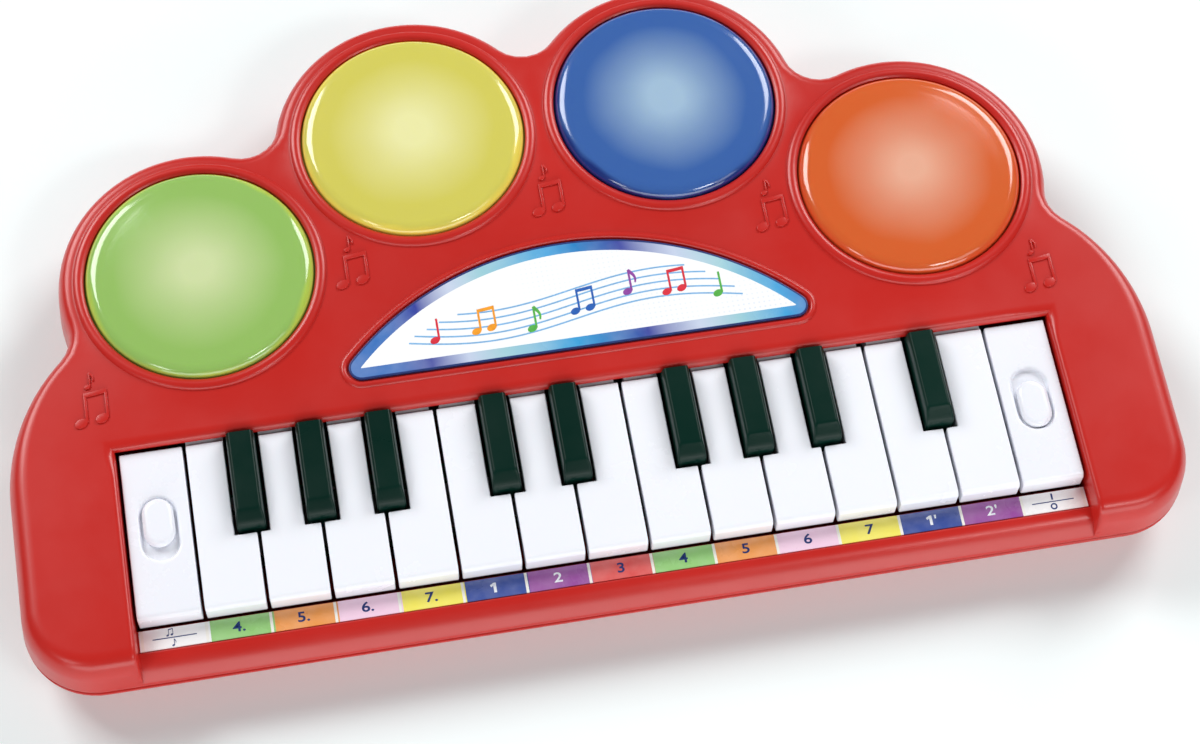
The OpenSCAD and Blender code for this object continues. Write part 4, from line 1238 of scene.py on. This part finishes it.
def pad_material(name, centre, pure, rim, glow):
    """Translucent pad with a painted glow from beneath: pale in the middle, deeper towards the rim."""
    f = Finish(name, Coat_Weight=0.5, Coat_Roughness=0.05, Subsurface_Weight=0.25, Subsurface_Scale=0.006,
               Emission_Strength=glow, Subsurface_Radius=tuple(max(0.15, c) for c in pure[:3]))
    cx, cy = middle(name)
    from_middle = f.vector("SUBTRACT", f.coords, (cx * MM, cy * MM, 0)).outputs[0]
    length = f.vector("LENGTH", f.vector("MULTIPLY", from_middle, (1, 1, 0)).outputs[0]).outputs["Value"]
    wobble = f.math("MULTIPLY", f.math("SUBTRACT", f.noise(34, 2), 0.5), 0.16)
    reach = f.math("ADD", f.math("DIVIDE", length, LENS_R * MM), wobble)
    mid = tuple((a + b) / 2 for a, b in zip(centre, pure))
    # The ramp's pale middle is painted glow, and the emission makes the pad glow though no lamp lies under it.
    shades = f.ramp(reach, [(0.0, centre), (0.14, centre), (0.42, mid), (0.76, pure), (0.95, pure),
                            (0.985, rim)])
    f.colour(shades)
    f.put(f.shader.inputs["Emission Color"], shades)
    f.rough(f.noise(45, 4), 0.1, 0.18)
    f.bump(f.noise(900, 2), 0.03, 0.0002)
    return f.material


def rubber(name, base):
    f = Finish(name, Specular_IOR_Level=0.25)
    f.mottle(f.noise(220, 5), scaled(base, 0.8), scaled(base, 1.35))
    f.rough(f.noise(90, 4), 0.72, 0.9)
    f.bump(f.noise(1800, 4, 0.7), 0.3, 0.0003)
    return f.material


def metal(name, base, rough, stretch=(1, 1, 1)):
    """Plated metal with drawn or tumbled marks."""
    f = Finish(name, Metallic=1.0)
    marks = f.noise(700, 4, 0.6, stretch)
    f.mottle(f.noise(120, 4), scaled(base, 0.82), scaled(base, 1.08))
    f.rough(marks, rough, rough + 0.16)
    f.bump(marks, 0.12, 0.0001)
    return f.material


def card(name):
    """Glossy printed card, white with a pale halftone that fades across it."""
    f = Finish(name, Coat_Weight=0.35, Coat_Roughness=0.08)
    spot = f.spread(f.cells(620, Randomness=0.0), 1, 0, 0.18, 0.34)
    fade = f.spread(f.noise(16, 2), 0, 0.5, 0.45, 0.62)
    f.colour(f.mix(f.math("MULTIPLY", spot, fade), srgb(250, 252, 253), srgb(176, 196, 236)))
    f.rough(f.noise(60, 4), 0.2, 0.3)
    f.bump(f.noise(900, 3), 0.04, 0.0001)
    return f.material


def border_print(name):
    """Band of blues that shade into each other along the badge."""
    f = Finish(name, Coat_Weight=0.35, Coat_Roughness=0.08)
    blue, deep, pale = srgb(52, 112, 188), srgb(48, 62, 158), srgb(196, 208, 232)
    ice, cyan = srgb(158, 206, 216), srgb(46, 160, 218)
    slanted = f.math("ADD", f.axis("X"), f.math("MULTIPLY", f.axis("Y"), 0.12))
    share = f.spread(slanted, 0, 1, -BADGE_HALF * MM, BADGE_HALF * MM)
    shade = f.ramp(share, [(0.0, blue), (0.08, blue), (0.16, deep), (0.24, pale), (0.32, ice), (0.47, cyan),
                           (0.63, deep), (0.74, pale), (0.83, ice), (0.93, cyan), (1.0, blue)])
    f.colour(f.mix(f.spread(f.noise(90, 3), 0, 0.12), shade, srgb(255, 255, 255)))
    f.rough(f.noise(60, 4), 0.2, 0.3)
    return f.material


STRIP_COLOURS = {
    "white": srgb(250, 250, 250), "green": srgb(150, 208, 122), "orange": srgb(244, 160, 82),
    "pink": srgb(249, 212, 234), "yellow": srgb(250, 238, 96), "blue": srgb(52, 78, 158),
    "purple": srgb(154, 78, 160), "red": srgb(226, 88, 84)}
STRIP_ORDER = ("white", "green", "orange", "pink", "yellow", "blue", "purple", "red", "green", "orange",
               "pink",
               "yellow", "blue", "purple", "white")


def strip_print(name):
    """Row of coloured cells, one in front of each white key, with fine white lines between them."""
    f = Finish(name, Coat_Weight=0.3, Coat_Roughness=0.1)
    cells = len(STRIP_ORDER)
    place_in_row = f.math("ADD", f.math("DIVIDE", f.axis("X"), PITCH * MM), cells / 2)
    stops = [(k / cells, STRIP_COLOURS[c]) for k, c in enumerate(STRIP_ORDER)]
    shade = f.ramp(f.math("DIVIDE", place_in_row, float(cells)), stops, "CONSTANT")
    off_line = f.math("ABSOLUTE", f.math("SUBTRACT", f.math("FRACT", place_in_row), 0.5))
    worn = f.mix(f.spread(f.noise(160, 4), 0.0, 0.1), shade, srgb(255, 255, 255))
    f.colour(f.mix(f.math("GREATER_THAN", off_line, 0.478), worn, srgb(248, 246, 238)))
    f.rough(f.noise(70, 4), 0.25, 0.36)
    f.bump(f.noise(1100, 3), 0.04, 0.0001)
    return f.material


def ink(name, base):
    f = Finish(name, Specular_IOR_Level=0.4)
    f.mottle(f.noise(700, 3), scaled(base, 0.9), scaled(base, 1.12))
    f.rough(f.noise(120, 3), 0.3, 0.42)
    return f.material


def board(name):
    """Circuit board: solder mask over a pattern of copper tracks, with tinned pads."""
    f = Finish(name, Coat_Weight=0.3, Coat_Roughness=0.2)
    tracks = f.node("ShaderNodeTexBrick", {
        "Scale": 130, "Mortar Size": 0.06, "Color1": srgb(14, 74, 40), "Color2": srgb(18, 84, 46),
        "Mortar": srgb(40, 118, 60), "Vector": f.coords})
    joint = f.spread(f.cells(210), 1, 0, 0.12, 0.16)
    f.colour(f.mix(joint, tracks.outputs["Color"], srgb(196, 196, 190)))
    f.rough(f.noise(120, 4), 0.3, 0.45)
    f.bump(tracks.outputs["Fac"], 0.2, 0.0001)
    return f.material


def paper_cone(name):
    f = Finish(name, Specular_IOR_Level=0.2)
    fibres = f.noise(900, 6, 0.75, (1, 1, 4))
    f.mottle(fibres, srgb(26, 26, 28), srgb(58, 56, 54))
    f.rough(fibres, 0.8, 0.95)
    f.bump(fibres, 0.5, 0.0003)
    return f.material


def studio_backdrop_material():
    f = Finish("pale_sweep", Specular_IOR_Level=0.1)
    f.mottle(f.noise(3, 2), srgb(243, 252, 252), srgb(246, 254, 254))
    f.rough(f.noise(8, 2), 0.85, 0.95)
    return f.material


RED = plastic("case_red", srgb(192, 34, 27), 0.28, 0.38, coat=0.06)
WHITE_LOOK = dict(grain=0.03, cloud=0.015, coat=0.2, subsurface=0.04)
WHITE = plastic("key_white", srgb(243, 245, 252), 0.2, 0.3, **WHITE_LOOK)
SWITCH = plastic("switch_white", srgb(240, 242, 250), 0.22, 0.32, **WHITE_LOOK)
BLACK = plastic("key_black", srgb(2, 37, 29), 0.26, 0.4, grain=0.1, cloud=0.12, gloss=0.2)
# Finishes of the CAD nodes that stay, by material slot: maker, colour, then the maker's other values
NODE_FINISHES = {
    "diffuser_white": (plastic, (236, 236, 230), 0.45, 0.6, 0.1, 0.03, 0.0, 0.1),
    "inner_grey": (plastic, (96, 98, 102), 0.45, 0.6, 0.15, 0.06),
    "contact_rubber": (rubber, (186, 188, 186)),
    "foot_rubber": (rubber, (42, 42, 44)),
    "zinc_screw": (metal, (186, 188, 190), 0.28),
    "steel_rod": (metal, (196, 196, 198), 0.2, (0.1, 6, 6)),
    "contact_metal": (metal, (208, 208, 204), 0.24),
    "switch_can": (metal, (190, 192, 196), 0.3, (1, 4, 1)),
    "led_lens": (plastic, (240, 238, 224), 0.08, 0.14, 0.05, 0.02, 0.4, 0.2),
    "chip_epoxy": (plastic, (16, 16, 18), 0.18, 0.4, 0.3, 0.2),
    "wire_sleeve": (plastic, (180, 30, 32), 0.35, 0.5, 0.1, 0.06),
    "speaker_steel": (metal, (104, 106, 110), 0.34),
    "magnet_ferrite": (plastic, (52, 52, 56), 0.5, 0.7, 0.5, 0.15),
}
FINISHES = {slot: make(slot, srgb(*colour), *rest) for slot, (make, colour, *rest) in NODE_FINISHES.items()}
FINISHES.update(circuit_board=board("circuit_board"), speaker_paper=paper_cone("speaker_paper"))
# Pale middle of the painted glow, body colour, rim and strength of the painted glow
PAD_FINISHES = {
    "green": (srgb(204, 218, 164), srgb(147, 188, 98), srgb(178, 204, 84), 0.04),
    "yellow": (srgb(230, 228, 166), srgb(207, 200, 92), srgb(232, 214, 90), 0.05),
    "blue": (srgb(158, 186, 210), srgb(58, 98, 166), srgb(26, 48, 120), 0.05),
    "orange": (srgb(228, 170, 144), srgb(210, 96, 44), srgb(214, 82, 40), 0.05),
}

# ---------------------------------------------------------------- making the pieces
upper_shell(RED)
lower_shell(RED)
battery_door(RED)
rubber_feet(FINISHES["foot_rubber"])
relief_notes(RED)
for number in range(1, WHITE_COUNT + 1):
    white_key(number, WHITE)
for number in range(1, BLACK_COUNT + 1):
    black_key(number, BLACK)
for end in (-1, 1):
    switch_panel(end, SWITCH)
    switch_knob(end, SWITCH)
for pad_colour in PAD_COLOURS:
    pad_lens(pad_colour, pad_material("pad_lens_" + pad_colour, *PAD_FINISHES[pad_colour]))
NAVY = ink("ink_navy", srgb(34, 56, 116))
badge_plate([card("badge_card"), border_print("badge_border"), NAVY])
badge_art([ink("ink_" + name, srgb(*rgb)) for name, rgb in (
    ("sky", (120, 176, 222)), ("red", (214, 44, 60)), ("amber", (240, 156, 40)), ("green", (84, 174, 72)),
    ("blue", (40, 96, 180)), ("violet", (142, 70, 158)))])
note_strip(strip_print("strip_cells"))
strip_marks([NAVY, ink("ink_white", srgb(240, 244, 255))])

slot_of = {a["node"]: a["material_slot"] for a in frame["record"]["subparts"]}
for node, cad_object in frame["nodes"].items():
    if not cad_object.hide_render:
        cad_object.data.materials.clear()
        cad_object.data.materials.append(FINISHES[slot_of[node]])


# ---------------------------------------------------------------- studio, in metres
LENS_MM, SENSOR_MM = 80.54, 36
CAMERA_AT = (-0.0764, -0.3626, 0.7722)
CAMERA_TURN = (24.601, -1.698, -9.930)
WORLD_COLOUR, WORLD_STRENGTH = (0.95, 0.97, 1, 1), 0.1
FLOOR_HALF = 3
# Name, place, target, size, watts
LIGHTS = (
    ("left_key", (-0.8, 0.96, 1.0), (0, 0, 0), (0.75, 0.75), 16.9),
    ("right_key", (1.0, 0.88, 0.9), (0, 0, 0), (0.75, 0.75), 15.1),
    ("right_softbox", (0.75, -0.6, 0.8), (0.05, -0.05, 0), (0.36, 0.36), 0.8),
    ("right_bar", (0.5, -0.74, 0.98), (0.1, -0.1, 0), (0.3, 0.2), 2.3),
    ("left_softbox", (-0.8, -0.7, 0.75), (-0.05, -0.05, 0), (0.26, 0.26), 1.4),
    ("front_panel", (0.0, -1.3, 0.36), (0, -0.1, 0.02), (2.4, 0.6), 14.5),
)


def into_scene(name, data, location=(0, 0, 0), rotation=(0, 0, 0)):
    obj = bpy.data.objects.new(name, data)
    obj.location = location
    obj.rotation_euler = rotation
    SCENE.collection.objects.link(obj)
    return obj


def area_light(name, location, target, size, energy):
    data = bpy.data.lights.new(name, "AREA")
    data.shape = "RECTANGLE"
    data.size, data.size_y = size
    data.energy = energy
    into_scene(name, data, location, (Vector(target) - Vector(location)).to_track_quat("-Z", "Y").to_euler())


def studio():
    lens = bpy.data.cameras.new("camera")
    lens.lens = LENS_MM
    lens.sensor_width = SENSOR_MM
    SCENE.camera = into_scene("camera", lens, CAMERA_AT, [math.radians(a) for a in CAMERA_TURN])
    world = bpy.data.worlds.new("studio")
    world.use_nodes = True
    background = world.node_tree.nodes["Background"]
    background.inputs["Color"].default_value = WORLD_COLOUR
    background.inputs["Strength"].default_value = WORLD_STRENGTH
    SCENE.world = world
    for light in LIGHTS:
        area_light(*light)
    mesh = bpy.data.meshes.new("floor")
    half = FLOOR_HALF
    mesh.from_pydata([(-half, -half, 0), (half, -half, 0), (half, half, 0), (-half, half, 0)], [],
                     [(0, 1, 2, 3)])
    mesh.materials.append(studio_backdrop_material())
    floor = into_scene("floor", mesh)
    SCENE.view_settings.view_transform = "Standard"


studio()
